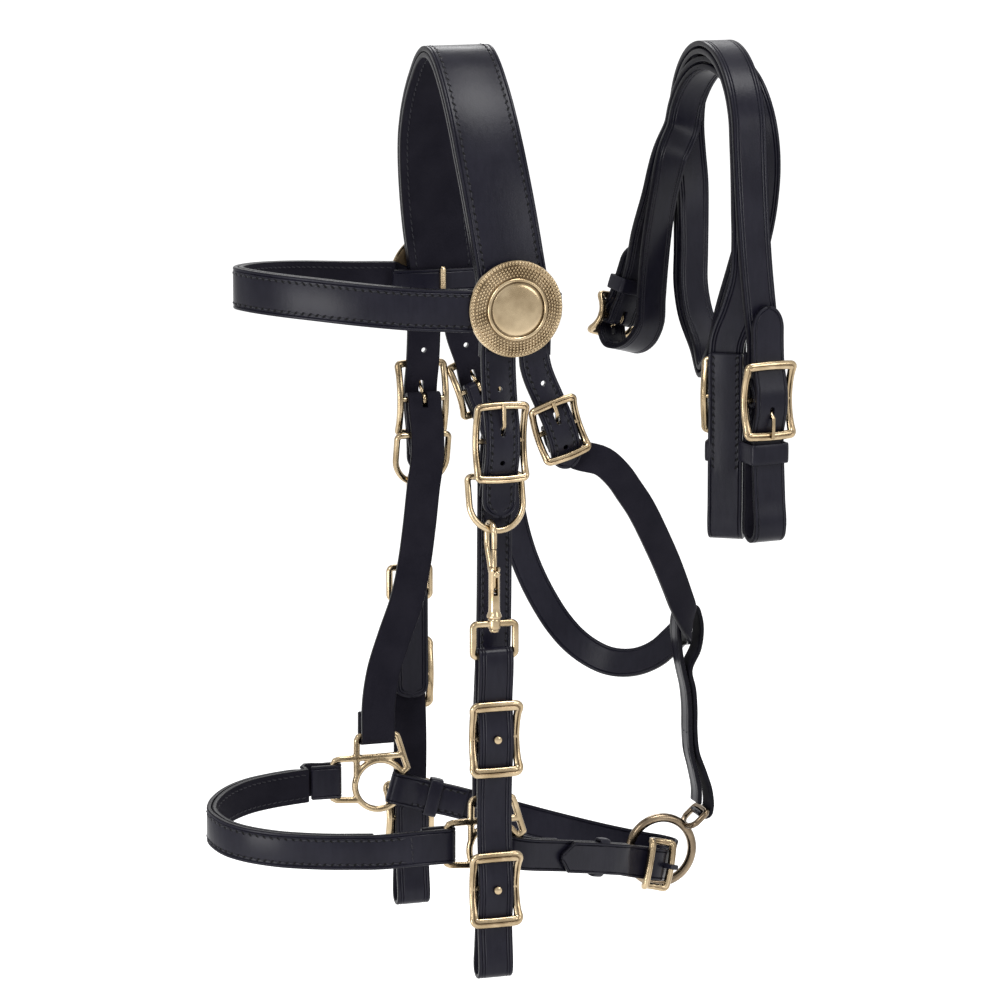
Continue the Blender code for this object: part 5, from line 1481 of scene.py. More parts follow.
@dataclass(frozen=True)
class Rosette:
    """A cast rosette: polished disc, raised ring, four beaded bands and a fluted rim; and its bar behind."""

    radius: float = 0.0256
    thick: float = 0.0052
    disc: float = 0.0145
    bands: tuple = ((0.0177, 60), (0.0192, 65), (0.0206, 70), (0.022, 75))
    bead: tuple = (0.00062, 0.0006, 0.00066)   # half sizes: along the band, outwards, in height
    flutes: int = 84
    flute: tuple = (0.00074, 0.00125, 0.00062)
    bar_length: float = 0.014
    bar_radius: float = 0.002
    bar_ribs: int = 14
    sides: int = 96

    def build(self, shop: Workshop, head: HeadPiece, side: Side) -> None:
        """Makes one rosette and its bar."""
        thick = 2 * LAYER + CLEARANCE
        middle, level = head.rosette_back - head.rosette_fore, head.rosette_level(side)
        place = side_place(side, head.arch_half + thick / 2 + 3 * CLEARANCE + BAND, middle, level)
        r, t, d = self.radius, self.thick, self.disc
        bed = t * 0.66
        plate = [(0.0002, 0.0), (r * 0.9, 0.0), (r * 0.975, t * 0.1), (r * 0.975, t * 0.36),
                 (r * 0.93, t * 0.5), (r * 0.87, t * 0.56), (r * 0.83, bed - t * 0.04), (d + 0.0024, bed),
                 (0.0002, t * 0.72)]
        ring = [(d, t * 0.6), (d + 0.0021, t * 0.6), (d + 0.0021, t * 0.8), (d + 0.0018, t * 0.95),
                (d + 0.0012, t * 1.02), (d + 0.0005, t * 1.00), (d, t * 0.88), (d, t * 0.6)]
        rim = [(r * 0.95, t * 0.06), (r * 0.992, t * 0.06), (r, t * 0.2), (r * 0.992, t * 0.34),
               (r * 0.96, t * 0.4), (r * 0.95, t * 0.06)]
        disc = [(0.0002, t * 0.6), (d - 0.0008, t * 0.6), (d - 0.0008, t * 0.84), (d - 0.0014, t * 0.91),
                (d - 0.0026, t * 0.935), (d * 0.75, t * 0.958), (d * 0.4, t * 0.985), (0.0002, t * 0.99)]
        # The plate under the beads is in the darker brass: painted shade in the bed between the beads.
        pieces = [Bench.turn(place.origin, place.out, plate, self.sides, Metal.PATINA)]
        pieces += [Bench.turn(place.origin, place.out, line, self.sides) for line in (disc, ring, rim)]
        pieces += [self._ring(place, *band, bed + t * 0.02, self.bead) for band in self.bands]
        pieces.append(self._ring(place, r * 0.936, self.flutes, t * 0.47, self.flute))
        shop.brass("rosette_" + side.word, pieces, 50.0)
        inside = head.arch_half - thick / 2 - 2 * CLEARANCE - BAND - self.bar_radius
        behind = vec(side.value * inside, middle, level + 0.001)
        points, sizes = [], []
        for index in range(2 * self.bar_ribs + 1):
            share = index / self.bar_ribs - 1.0
            rib = 1.0 if index % 2 else 0.86
            points.append(behind + vec(0, 0, -share * self.bar_length / 2))
            sizes.append(self.bar_radius * (rib if abs(share) < 0.86 else 0.62))
        shop.brass("rosette_bar_" + side.word, [Bench.wire(points, sizes, BACK)])

    @staticmethod
    def _ring(place: Place, radius: float, count: int, height: float, half: tuple) -> Piece:
        """A ring of small beads.

        Args:
            place: the rosette's axes.
            radius: the ring's radius.
            count: how many beads it has.
            height: their middle above the back.
            half: their half sizes: round the ring, outwards and in height.

        Returns:
            The beads as one mesh.
        """
        rest, polygons = Bench.ball()
        out = np.array(place.out)
        angles = 2 * pi * np.arange(count)[:, None] / count
        radial = np.array(place.along) * np.cos(angles) + np.array(place.across) * np.sin(angles)
        turns = np.stack([np.cross(radial, out), radial, np.tile(out, (count, 1))], axis=1)
        origins = np.array(place.origin) + radial * radius + out * height
        return Bench.scatter(boxy(rest, 0.62) * half, polygons, origins, turns)


# Halter


@dataclass(frozen=True)
class NoseFitting:
    """Cast fittings: a ring, a slot above it for the cheek and a slot before it for the noseband."""

    ring_radius: float = 0.014
    slot_rise: float = 0.016
    slot_top: float = 0.0285
    slot_front: float = 0.0265
    slot_low: float = -0.007

    @staticmethod
    def place(side: Side) -> Place:
        """Axes at the ring."""
        back, height = (0.002, -0.4175) if side is Side.NEAR else (-0.028, -0.408)
        return side_place(side, 0.0575, back, height)

    def build(self, shop: Workshop, side: Side) -> None:
        """Casts one fitting."""
        place = self.place(side)
        ring = [place.at(0.0, a, c) for c, a in arc((0.0, 0.0), self.ring_radius, 0, 360, 48)[:-1]]
        made = Bench.wire(ring, (WIRE, WIRE * 1.06), place.out, True, 20, 0.25)
        top, low, rise, front = self.slot_top, self.slot_low, self.slot_rise, self.slot_front
        upper = [(-0.0165, -0.008), (-0.0148, -0.013), (-0.013, -0.019), (-0.011, -top + 0.003),
                 (-0.0102, -top + 0.001), (-0.0088, -top), (0.01, -top), (0.012, -top + 0.0006),
                 (0.0128, -top + 0.0022), (0.013, -0.015), (0.013, -0.004)]
        fore = [(-0.0125, -rise), (front - 0.003, -rise), (front - 0.001, -rise + 0.0006),
                (front, -rise + 0.0024), (front + 0.0006, -low - 0.003), (front + 0.0002, -low - 0.001),
                (front - 0.0016, -low), (0.0115, -low + 0.001)]
        arm = [(-0.0168, -0.0092), (-0.0145, -0.0066), (-0.012, -0.004)]
        for line in (upper, fore, arm):
            points = [place.at(0.0, a, -f) for f, a in line]
            bar = Bench.wire(points, (WIRE * 0.96, WIRE * 1.05), place.out, False, 20, 0.4)
            Bench.cut(made, bar, "UNION")
        Bench.applied(made, "REMESH", mode="VOXEL", voxel_size=0.00038)
        Bench.applied(made, "SMOOTH", factor=0.6, iterations=9)
        shop.brass("nose_fitting_" + side.word, [Bench.outward(made)], 80.0)


@dataclass(frozen=True)
class Halter:
    """Cheeks, noseband, throat strap, jaw strap, chin straps and their brass."""

    throat_width: float = 0.016
    jaw_width: float = 0.013
    chin_width: float = 0.0175
    dee_width: float = 0.033
    dee_height: float = 0.0325
    dee_tilt: float = radians(14.0)
    jaw_top: tuple = (0.132, -0.319)
    ring_centre: tuple = (0.1176, -0.443)
    ring_radius: float = 0.0185
    ring_wire: float = 0.0025
    eye_width: float = 0.0208
    eye_length: float = 0.013
    eye_turn: float = radians(42.0)
    chin_bar: tuple = (0.017, 0.1055, -0.445)
    billet_on_near: tuple = (0.021, 0.0772)    # where the far strap's tip lies, from the buckle
    near_drop: float = radians(12.8)
    far_drop: float = radians(15.7)

    def dee_place(self, side: Side) -> Place:
        """Axes at the D-ring's straight bar; along runs down the ring's tilted plane."""
        s = side.value
        out = BOW - WIRE - 3 * CLEARANCE - LAYER - CHAPE - WIRE
        origin = cheek_place(side).at(out, CHEEK_BUCKLE.half_high + 0.0002)
        origin.y = 0.0
        tilt = self.dee_tilt
        return Place(origin, vec(s * cos(tilt), 0, sin(tilt)), vec(s * sin(tilt), 0, -cos(tilt)), BACK)

    def build(self, shop: Workshop) -> None:
        """Makes the halter."""
        for side in Side:
            shop.buckle("cheek_{}_" + side.word, CHEEK_BUCKLE, cheek_place(side))
            shop.buckle("throat_{}_" + side.word, THROAT_BUCKLE, throat_place(side))
            self._dee(shop, side)
            self._cheek(shop, side)
            NoseFitting().build(shop, side)
        self._noseband(shop)
        self._throat_strap(shop)
        self._chin_ring(shop)
        self._jaw_strap(shop)
        self._chin_straps(shop)

    def _dee(self, shop: Workshop, side: Side) -> None:
        """A D-ring of round wire with a straight top bar."""
        place = self.dee_place(side)
        half = self.dee_width / 2 - WIRE
        depth = self.dee_height - 2 * WIRE
        corner = 0.0022
        line = [(half - corner - (2 * half - 2 * corner) * i / 8, 0.0) for i in range(9)]
        turn = [radians(a) for a in (15, 30, 45, 60, 75, 90)]
        line += [(-half + corner - corner * sin(a), corner - corner * cos(a)) for a in turn]
        line += [(-half * cos(radians(a)), depth - half + half * sin(radians(a))) for a in range(0, 181, 6)]
        line += [(half - corner + corner * sin(a), corner - corner * cos(a)) for a in reversed(turn)]
        made = Bench.wire([place.at(0.0, a, c) for c, a in line], WIRE, place.out, True, 18)
        shop.brass("dee_" + side.word, [made], 70.0)

    def _cheek(self, shop: Workshop, side: Side) -> None:
        """Stitched strap round the cheek buckle's bar and the D-ring's bar, down to the nose fitting."""
        place = cheek_place(side)
        dee = self.dee_place(side)
        offset = dee.origin - place.origin
        dee_out, dee_along = offset.dot(place.out), offset.dot(place.along)
        past = WIRE + CLEARANCE + CHAPE / 2
        inner = dee_out - past
        outer_end = inner + CHAPE + CLEARANCE
        section = [(outer_end, dee_along + 0.011), (outer_end + 0.0003, dee_along + 0.0075),
                   (dee_out + past - 0.0002, dee_along + 0.0022), (dee_out + past, dee_along),
                   (dee_out + past + 0.0012, dee_along - 0.004), (FOLD - 0.0012, 0.006), (FOLD, 0.002),
                   *arc((0.0, 0.0), FOLD, 0, -180, 6), (-FOLD, 0.002), (-FOLD - 0.0012, 0.007),
                   (inner + 0.0004, dee_along - 0.004), (inner, dee_along),
                   (inner - 0.0003, dee_along + 0.009)]
        upper = place.strap(section, STRAP_WIDTH, CHAPE)
        fitting = NoseFitting()
        frame = fitting.place(side)
        bar = frame.at(0.0, -fitting.slot_top, -0.0015)
        fold = WIRE + CLEARANCE + LAYER / 2
        s = side.value
        slant = frame.origin.y - 0.0015 - place.origin.y
        low = bar + vec(-s * fold, 0, 0.014)
        lower = [vec(s * (abs(frame.origin.x) + 0.001), place.origin.y + slant * 0.42, -0.305),
                 low + vec(s * 0.0002, -slant * 0.1, 0.022), low, bar + vec(-s * fold, 0, 0.003)]
        run = flow([upper[-1], *course(lower, BACK, STRAP_WIDTH, LAYER)], 0.02)
        turned = [bar + vec(s * o, 0, z) for o, z in arc((0.0, 0.0), fold, 180, 360, 6)]
        turned += [bar + vec(s * fold, 0, 0.006), bar + vec(s * (fold - 0.0002), 0, 0.013)]
        stations = upper[:-1] + run + course(turned, BACK, STRAP_WIDTH, LAYER)
        sewn = ((0.026, -0.062), (-0.011, -0.0), (0.0, 0.012))
        work = Work(seam=0.003, stitched=sewn, flesh_rows=False, inward=True)
        shop.strap("halter_cheek_" + side.word, stations[::-1], work, [bar_slot(place)])

    def _nose_knots(self) -> list[Station]:
        """Noseband from the far fitting's front bar round the nose to the near fitting's."""
        fitting = NoseFitting()
        middle = -(fitting.slot_rise + fitting.slot_low) / 2
        start = fitting.place(Side.FAR).at(0.0, middle, -fitting.slot_front)
        end = fitting.place(Side.NEAR).at(0.0, middle, -fitting.slot_front)
        plan = ((-0.056, -0.07, -0.4045), (-0.049, -0.09, -0.404), (-0.035, -0.113, -0.4035),
                (-0.018, -0.13, -0.405), (0.0000, -0.1385, -0.408), (0.016, -0.134, -0.411),
                (0.033, -0.118, -0.413), (0.046, -0.093, -0.414), (0.054, -0.064, -0.4145))
        return course([start, *(vec(*point) for point in plan), end], UP, STRAP_WIDTH, BAND)

    def _noseband(self, shop: Workshop) -> None:
        """Two stitched layers; the outer one turns round each front slot bar and back inside."""
        knots = self._nose_knots()
        band = squared(flow(knots[1:-1], 0.01), UP)
        fold = WIRE + CLEARANCE + BAND / 2

        def end(side: Side) -> list[Station]:
            """The outer layer's end round one slot bar, from outside to inside."""
            bar = knots[-1].point if side is Side.NEAR else knots[0].point
            section = [(fold, -0.016), (fold, -0.005), *arc((0.0, 0.0), fold, 0, 180, 6),
                       (-fold, -0.005), (-fold + 0.0004, -0.0135)]
            return course([bar + vec(side.value * o, y, 0) for o, y in section], UP, STRAP_WIDTH, BAND)

        outer = [*reversed(end(Side.FAR)), *lifted(band, (BAND + CLEARANCE) / 2), *end(Side.NEAR)]
        plain = 0.0455
        rows = (plain - 0.001, -plain + 0.001)
        work = Work(seam=0.003, stitched=((plain, -plain),), crossings=rows, flesh_rows=False)
        shop.strap("noseband_outer", outer, work)
        shop.lining("noseband_lining", band, BAND, 0.003)

    def _throat_strap(self, shop: Workshop) -> None:
        """One strap from buckle to buckle, down round the throat and through the jaw strap's loop."""
        near = [((0.0638, 0.044, -0.2035), (0, 0.8, 0.55)), ((0.065, 0.06, -0.209), (0, 0.5, 0.85)),
                ((0.059, 0.077, -0.227), (0, 0.75, 0.62)), ((0.042, 0.1, -0.261), (0, 0.82, 0.55)),
                ((0.022, 0.12, -0.296), (0, 0.6, 0.8)), ((0.0085, 0.1308, -0.316), (0, 0.06, 0.99))]
        bend = [((0.0000, *self.jaw_top), (0, 0.0, 1.0))]
        far = [((-0.0085, 0.1312, -0.322), (0, 0.06, 0.99)), ((-0.02, 0.123, -0.335), (0, 0.35, 0.9)),
               ((-0.031, 0.112, -0.3425), (0, 0.5, 0.86)), ((-0.043, 0.1, -0.343), (0, 0.5, 0.86)),
               ((-0.055, 0.085, -0.333), (0, 0.72, 0.7)), ((-0.064, 0.071, -0.312), (0, 0.9, 0.42)),
               ((-0.069, 0.06, -0.286), (0, 0.94, 0.34)), ((-0.069, 0.05, -0.246), (0, 0.95, 0.31)),
               ((-0.0638, 0.04, -0.208), (0, 0.95, 0.31))]
        middle = [Station(vec(*p), vec(*a), self.throat_width, LAYER * 0.9) for p, a in near + bend + far]
        first = throat_place(Side.NEAR).strap(fold_section(), self.throat_width, CHAPE)[:-1]
        last = throat_place(Side.FAR).strap(fold_section(), self.throat_width, CHAPE)[-2::-1]
        stations = first[:-1] + flow([first[-1], *middle, last[0]], 0.0125) + last[1:]
        slots = [bar_slot(throat_place(side)) for side in Side]
        shop.strap("throat_strap", stations, Work(), slots)

    def eye_place(self) -> Place:
        """Axes at the chin ring's eye: along points up out of the ring, across is the horse's side."""
        direction = vec(0, cos(self.eye_turn), sin(self.eye_turn))
        start = vec(0, *self.ring_centre) + direction * (self.ring_radius + 0.0012)
        return Place(start, vec(0, -sin(self.eye_turn), cos(self.eye_turn)), direction, vec(1, 0, 0))

    def _chin_ring(self, shop: Workshop) -> None:
        """Ring that the chin strap runs through, with an eye for the jaw strap set square to it."""
        centre = vec(0, *self.ring_centre)
        ring = [centre + vec(0, y, z) for y, z in arc((0.0, 0.0), self.ring_radius, 0, 360, 56)[:-1]]
        made = Bench.wire(ring, self.ring_wire, vec(1, 0, 0), True, 22)
        place = self.eye_place()
        half = self.eye_width / 2 - WIRE
        corner = 0.0024
        points = [(0.0, 0.0), (half * 0.3, 0.0002), (half * 0.55, 0.0008), (half * 0.82, 0.0022),
                  (half, 0.0044), *arc((half - corner, self.eye_length - corner), corner, 0, 90, 5),
                  (0.0, self.eye_length)]
        points += [(-c, a) for c, a in points[-2:0:-1]]
        eye = Bench.wire([place.at(0.0, a, c) for c, a in points], WIRE, place.out, True, 18)
        shop.brass("chin_ring", [made, eye], 80.0, shop.finishes.bronze)

    def _jaw_strap(self, shop: Workshop) -> None:
        """Doubled strap: round the throat strap at its top and through the chin ring's eye."""
        thick = LAYER * 0.8
        bar = self.eye_place().at(0.0, self.eye_length)
        apart = thick / 2 + CLEARANCE / 2
        fold = WIRE + 2 * CLEARANCE + thick / 2
        y, z = self.jaw_top
        wide = 0.0056
        rise = 0.0158
        front = [(bar.y - fold, bar.z + 0.004), (bar.y - fold * 0.9 - 0.0002, bar.z + 0.01),
                 (y + 0.0028 - apart, bar.z + 0.034), (y + 0.0004 - apart, z - 0.032),
                 (y - 0.002 - apart, z - rise - 0.006), (y - wide, z - rise * 0.6),
                 (y - wide, z + rise * 0.6)]
        crest = arc((y, z + rise * 0.6), wide, 135, 45, 2)
        back = [(y + wide, z + rise * 0.6), (y + wide, z - rise * 0.6),
                (y - 0.001 + apart, z - rise - 0.006), (y + 0.0012 + apart, z - 0.032),
                (y + 0.0036 + apart, bar.z + 0.034),
                (bar.y + fold * 0.9, bar.z + 0.01), (bar.y + fold, bar.z)]
        low = arc((bar.y, bar.z), fold, -30, -180, 5)
        knots, bottom = (course([vec(0, *p) for p in line], vec(1, 0, 0), self.jaw_width, thick)
                         for line in (front + crest + back, low))
        work = Work(seam=0.0022, stitched=((0.02, 0.034),), crossings=(0.0415,), creases=(0.0014, 0.0032))
        shop.strap("jaw_strap", flow(knots, 0.013) + bottom, work)

    def chin_place(self) -> Place:
        """Axes at the chin buckle's middle bar; along runs forward to the near fitting."""
        forward = (vec(0.048, 0.056, -0.429) - vec(*self.chin_bar)).normalized()
        across = (UP - forward * forward.z).normalized()
        return Place(vec(*self.chin_bar), across.cross(forward), forward, across)

    def _ring_wrap(self, side: Side, drop: float) -> list[Station]:
        """A chin strap folded round the back of a fitting's ring, from inside to outside."""
        fitting = NoseFitting()
        place = fitting.place(side)
        fold = 0.0033
        back = fitting.ring_radius + 0.002
        turn = [(o, 0.0104 - c) for o, c in arc((0.0, 0.0), fold, 180, 0, 6)]
        points = [place.origin + place.out * o + vec(0, cos(drop) * c, -sin(drop) * c)
                  for o, c in ((-fold, back), *turn, (fold, back))]
        return self._chin_run(points, drop)

    def _chin_run(self, points: Sequence[Vector], drop: float) -> list[Station]:
        """Stations of a chin strap through points, its flat side turned out."""
        return course([vec(*p) for p in points], vec(0, sin(drop), cos(drop)), self.chin_width, CHAPE)

    def _chin_straps(self, shop: Workshop) -> None:
        """Far strap through the chin ring and round to the near side, and the near strap with the buckle."""
        place = self.chin_place()
        step = CHAPE + 1.6 * CLEARANCE
        wrap = self._ring_wrap(Side.NEAR, self.near_drop)
        fold = place.strap(fold_section(), self.chin_width, CHAPE)
        points = ((0.0582, 0.025, -0.4228), (0.055, 0.033, -0.4245), (0.049, 0.0465, -0.4275),
                  (0.0395, 0.0675, -0.4325), (0.031, 0.0835, -0.437))
        body = flow([wrap[-1], *self._chin_run(points, self.near_drop), fold[-1]], 0.01)
        under = free(lifted(body[1:4], -step))
        near = [*reversed(under), *wrap[:-1], *body, *fold[-2::-1]]
        work = Work(seam=0.0026, stitched=((-0.02, -0.0),), creases=(0.0016,), flesh_rows=False, lined=True)
        shop.strap("chin_strap_near", near[::-1], work, [bar_slot(place)])
        shop.buckle("chin_{}", CHIN_BUCKLE, place)

        half_high = CHIN_BUCKLE.half_high
        over = OVER + CHAPE / 2
        low = SMALL_UNDER - CHAPE / 2
        section = [(low, -half_high), (over - 0.0004, -0.0038), (over, 0.0), (over - 0.0004, 0.0038),
                   (low, half_high), (0.0014, 0.015)]
        through = place.strap(section, self.chin_width, CHAPE)
        route = ((-0.0575, -0.006, -0.4145), (-0.054, 0.011, -0.419), (-0.044, 0.0385, -0.4265),
                 (-0.03, 0.069, -0.4345), (-0.016, 0.096, -0.4405), (-0.0085, 0.112, -0.4435),
                 (-0.004, 0.1205, -0.4448), (0.001, 0.1238, -0.4454), (0.0062, 0.1222, -0.446))
        wrap = self._ring_wrap(Side.FAR, self.far_drop)
        along = flow([wrap[-1], *self._chin_run(route, self.far_drop), through[0]], 0.011)
        under = free(lifted(along[1:5], step))
        first, last = self.billet_on_near
        above = reversed(free(lifted(body, step)))
        tip = [s for s in above if first < (s.point - place.origin).length < last]
        finish = squared(flow([*through, tip[0]], 0.0032), place.across)
        far = [*reversed(under), *wrap[:-1], *along[:-1], *finish[:-1], *tip]
        work = Work(seam=0.0026, stitched=((0.0, 0.03),), creases=(0.0016,), tip=0.0075, lined=True,
                    pointed=True)
        shop.strap("chin_strap_far", far, work, tongue_holes(place, -1, ()))

        tucked = step - CLEARANCE * 1.5 - KEEPER_THICK / 2
        for node, line, y, high in (("chin_keeper_near", body, 0.0675, tucked),
                                    ("chin_keeper_far", along, 0.006, step + CHAPE / 2)):
            index = min(range(len(line)), key=lambda i: abs(line[i].point.y - y))
            tangent, across, normal = axes(line)[index]
            seat = Place(line[index].point, normal, tangent, across)
            keeper(shop, node, seat, -CHAPE / 2, high, self.chin_width / 2, 0.0072)


def keeper(shop: Workshop, node: str, place: Place, low: float, high: float, half: float,
           width: float) -> None:
    """A leather loop round layered straps.

    Args:
        shop: where it is finished.
        node: its name in the frame.
        place: axes on the strap.
        low, high: how far its inside reaches in and out.
        half: half the width of the straps.
        width: its own width.
    """
    room = CLEARANCE * 1.5 + KEEPER_THICK / 2
    points = [place.at(o, 0.0, c) for c, o in rounded(half + room, low - room, high + room, 0.0016, 5)]
    made = Bench.wire(points, (width / 2, KEEPER_THICK / 2), place.along, True, 20, 0.86)
    shop.fit(Bench.join("leather_" + node, [made]), shop.finishes.leather[:1], node)


# Bit hangers


@dataclass(frozen=True)
class BitHanger:
    """Bolt snap, swivel loop, strap and conway buckles of one side."""

    snap_back: float = -0.0042
    eye_inside: float = 0.0047
    hook_wire: float = 0.0016
    barrel_radius: float = 0.0032
    barrel_length: float = 0.0273
    barrel_flare: float = 0.004
    bore: float = 0.00175
    barrel_below_eye: float = 0.0165
    bolt_radius: float = 0.0014
    bolt_length: float = 0.0205
    slot_width: float = 0.0024
    slot_length: float = 0.015
    knob_below_top: float = 0.0033
    knob_reach: float = 0.0056
    spring_turns: int = 6
    spring_wire: float = 0.00032
    swivel_width: float = 0.0268
    swivel_height: float = 0.0208
    swivel_pin: float = 0.0014
    swivel_boss: float = 0.0034
    layer: float = 0.0026
    upper_drop: float = 0.0442
    lower_drop: float = 0.1262
    loop_drop: float = 0.1762
    loop_radius: float = 0.0046
    tab: float = 0.0125
    stud_radius: float = 0.0014
    stud_reach: float = 0.003

    @property
    def turn(self) -> float:
        """Radius of the hook's middle line, and how far out of its eye the barrel's axis lies."""
        return self.eye_inside + self.hook_wire

    def snap_place(self, halter: Halter, side: Side) -> Place:
        """Axes at the eye of the snap's hook; the D-ring's wire hangs in it."""
        bend = halter.dee_width / 2 - WIRE
        rise = bend - sqrt(bend ** 2 - self.snap_back ** 2)
        low = halter.dee_place(side).at(0.0, halter.dee_height - 2 * WIRE - rise, self.snap_back)
        slope = abs(self.snap_back) / bend
        drop = self.eye_inside - WIRE - CLEARANCE - self.hook_wire * slope * 1.2
        return side_place(side, side.value * low.x, low.y, low.z - drop)

    def build(self, shop: Workshop, halter: Halter, side: Side) -> None:
        """Makes the hanger of one side."""
        snap = self.snap_place(halter, side)
        self._snap(shop, snap, side)
        swivel = snap.moved(self.turn, self.barrel_below_eye + self.barrel_length + CLEARANCE + 0.0028)
        self._swivel(shop, swivel, side)
        self._strap(shop, swivel.moved(0.0, self.swivel_height - 2 * WIRE), side)

    def _snap(self, shop: Workshop, place: Place, side: Side) -> None:
        """Hook with its slotted barrel and swivel pin, the bolt with its knob, and the spring under it."""
        turn, top, barrel, tip = self.turn, self.barrel_below_eye, self.barrel_radius, 0.0068
        axis = place.moved(turn, top)
        line = [(turn - barrel + 0.0004, top + 0.008), (turn - barrel - 0.0006, top + 0.0062),
                (turn - barrel - 0.0018, top + 0.004), (turn - barrel - 0.003, top + 0.0018),
                (-turn + 0.0046, top - 0.002), (-turn + 0.003, top - 0.0044),
                (-turn + 0.0015, top - 0.007), (-turn + 0.0006, top - 0.0095), (-turn, top - 0.013),
                *arc((0.0, 0.0), turn, -180, 0, 24),
                (turn, tip * 0.35), (turn, tip * 0.7), (turn, tip)]
        sizes = []
        for index in range(len(line)):
            share = index / (len(line) - 1)
            size = self.hook_wire * (1.0 - 0.1 * max(0.0, (share - 0.85) / 0.15))
            sizes.append((size * 0.98, size * (1.12 if index < 8 else 1.0)))
        hook = Bench.wire([place.at(o, a) for o, a in line], sizes, place.across, False, 18)
        length, flare, pin = self.barrel_length, self.barrel_flare, self.swivel_pin
        floor = length - 0.0016
        profile = [(0.0002, floor), (self.bore, floor), (self.bore, 0.0), (barrel * 0.8, 0.0),
                   (barrel * 0.94, 0.0003), (barrel, 0.0012), (barrel, 0.0024), (barrel * 0.94, 0.0028),
                   (barrel * 0.94, length * 0.8), (barrel * 0.97, length * 0.84), (barrel, length * 0.88),
                   (flare * 0.93, length * 0.93), (flare, length * 0.955), (flare, length - 0.0004),
                   (flare * 0.93, length), (pin, length), (pin, length + 0.0062),
                   (pin * 1.75, length + 0.0062), (pin * 1.85, length + 0.0068), (pin * 1.5, length + 0.0076),
                   (0.0002, length + 0.008)]
        body = Bench.turn(axis.origin, axis.along, profile, 32)
        half_slot = self.slot_width / 2
        low, high = (self.bore * 0.4, -0.002, -half_slot), (barrel + 0.002, self.slot_length, half_slot)
        Bench.cut(body, Bench.box(axis, low, high))
        shop.brass("snap_body_" + side.word, [body, hook], 45.0)

        start = tip + CLEARANCE - top
        end, bolt = start + self.bolt_length, self.bolt_radius
        rod = [(0.0002, start), (bolt * 0.7, start), (bolt, start + 0.0006), (bolt, end - 0.0003),
               (bolt * 0.9, end), (0.0002, end)]
        neck, reach, shoulder = half_slot - 2 * CLEARANCE, self.knob_reach, barrel + CLEARANCE
        knob = [(0.0002, 0.0), (neck, 0.0), (neck, shoulder), (0.0015, shoulder), (0.0018, shoulder + 0.0004),
                (0.0018, reach - 0.0009), (0.0016, reach - 0.0004), (0.001, reach - 0.0001), (0.0002, reach)]
        thumb = Bench.turn(axis.at(0.0, self.knob_below_top), axis.out, knob, 24)
        shop.brass("snap_bolt_" + side.word, [Bench.turn(axis.origin, axis.along, rod, 24), thumb], 45.0)

        first = end + CLEARANCE + self.spring_wire
        last = floor - CLEARANCE - self.spring_wire
        radius = self.bore - self.spring_wire - CLEARANCE
        steps = self.spring_turns * 20
        coil = []
        for index in range(steps + 1):
            angle, along = 2 * pi * index / 20, first + (last - first) * index / steps
            coil.append(axis.at(radius * cos(angle), along, radius * sin(angle)))
        spring = Bench.wire(coil, self.spring_wire, axis.along, False, 8)
        blend = ("snap_bolt_" + side.word, axis.at(0.0, first), axis.at(0.0, last))
        shop.brass("snap_spring_" + side.word, [spring], 70.0, shop.finishes.steel, blend)

    def _swivel(self, shop: Workshop, place: Place, side: Side) -> None:
        """A square loop that turns on the snap's pin."""
        line = rounded(self.swivel_width / 2 - WIRE, 0.0, self.swivel_height - 2 * WIRE, 0.0021, 6)
        points = [place.at(0.0, a, c) for c, a in line]
        loop = Bench.wire(points, (WIRE, WIRE * 1.05), place.out, True, 18, 0.3)
        height = 0.0056 / 2
        boss, hole = self.swivel_boss, self.swivel_pin + 2 * CLEARANCE
        rim = [(hole, -height), (boss * 0.86, -height), (boss * 0.97, -height * 0.75), (boss, -height * 0.4),
               (boss, height * 0.4), (boss * 0.97, height * 0.75), (boss * 0.86, height), (hole, height),
               (hole, -height)]
        bore = [(0.0002, -0.006), (hole, -0.006), (hole, 0.006), (0.0002, 0.006)]
        collar, hollow = (Bench.turn(place.origin, place.along, profile, 32) for profile in (rim, bore))
        Bench.cut(loop, hollow)
        shop.brass("snap_swivel_" + side.word, [loop, collar], 45.0)

    def _strap(self, shop: Workshop, place: Place, side: Side) -> None:
        """A strap folded round the loop and round the bit, held by two conway buckles."""
        layer, dip, r = self.layer, 0.0018, self.stud_radius
        fold = WIRE + CLEARANCE + layer / 2
        bow = fold - dip + layer / 2 + CLEARANCE + WIRE
        shape = BuckleShape(0.0284, 0.039, bow, corner=0.0024, arch=0.0002, waist=0.05, end_bar=0.0028,
                            side_bar=0.0021, groove=0.3)
        high = shape.half_high
        upper, lower = self.upper_drop, self.lower_drop
        section = [(-fold + 0.0002, upper + self.tab), (-fold, upper), (-fold, 0.01), (-fold, 0.002),
                   *arc((0.0, 0.0), fold, 180, 360, 6)]
        run = [(fold, 0.0), (fold, 0.008)]
        for drop in (upper, lower):
            run += [(fold - dip, drop - high), (fold, drop - 0.006), (fold, drop + 0.006),
                    (fold - dip, drop + high)]
        bottom = self.loop_drop - layer / 2 - self.loop_radius
        centre = fold - self.loop_radius - 0.0004
        run.append((fold - 0.0004, bottom - 0.006))
        loop = arc((centre, bottom), self.loop_radius, 0, 180, 6)
        back = [(centre - self.loop_radius, bottom), (-fold - 0.0018, bottom - 0.01), (-fold, lower + 0.016),
                (-fold, lower), (-fold + 0.0002, lower - self.tab)]
        parts = [place.strap(part, STRAP_WIDTH, layer) for part in (section, run, loop, back)]
        stations = parts[0][:-1] + flow(parts[1], 0.0065) + parts[2] + flow(parts[3], 0.008)[1:]
        reach = fold + layer / 2 + self.stud_reach
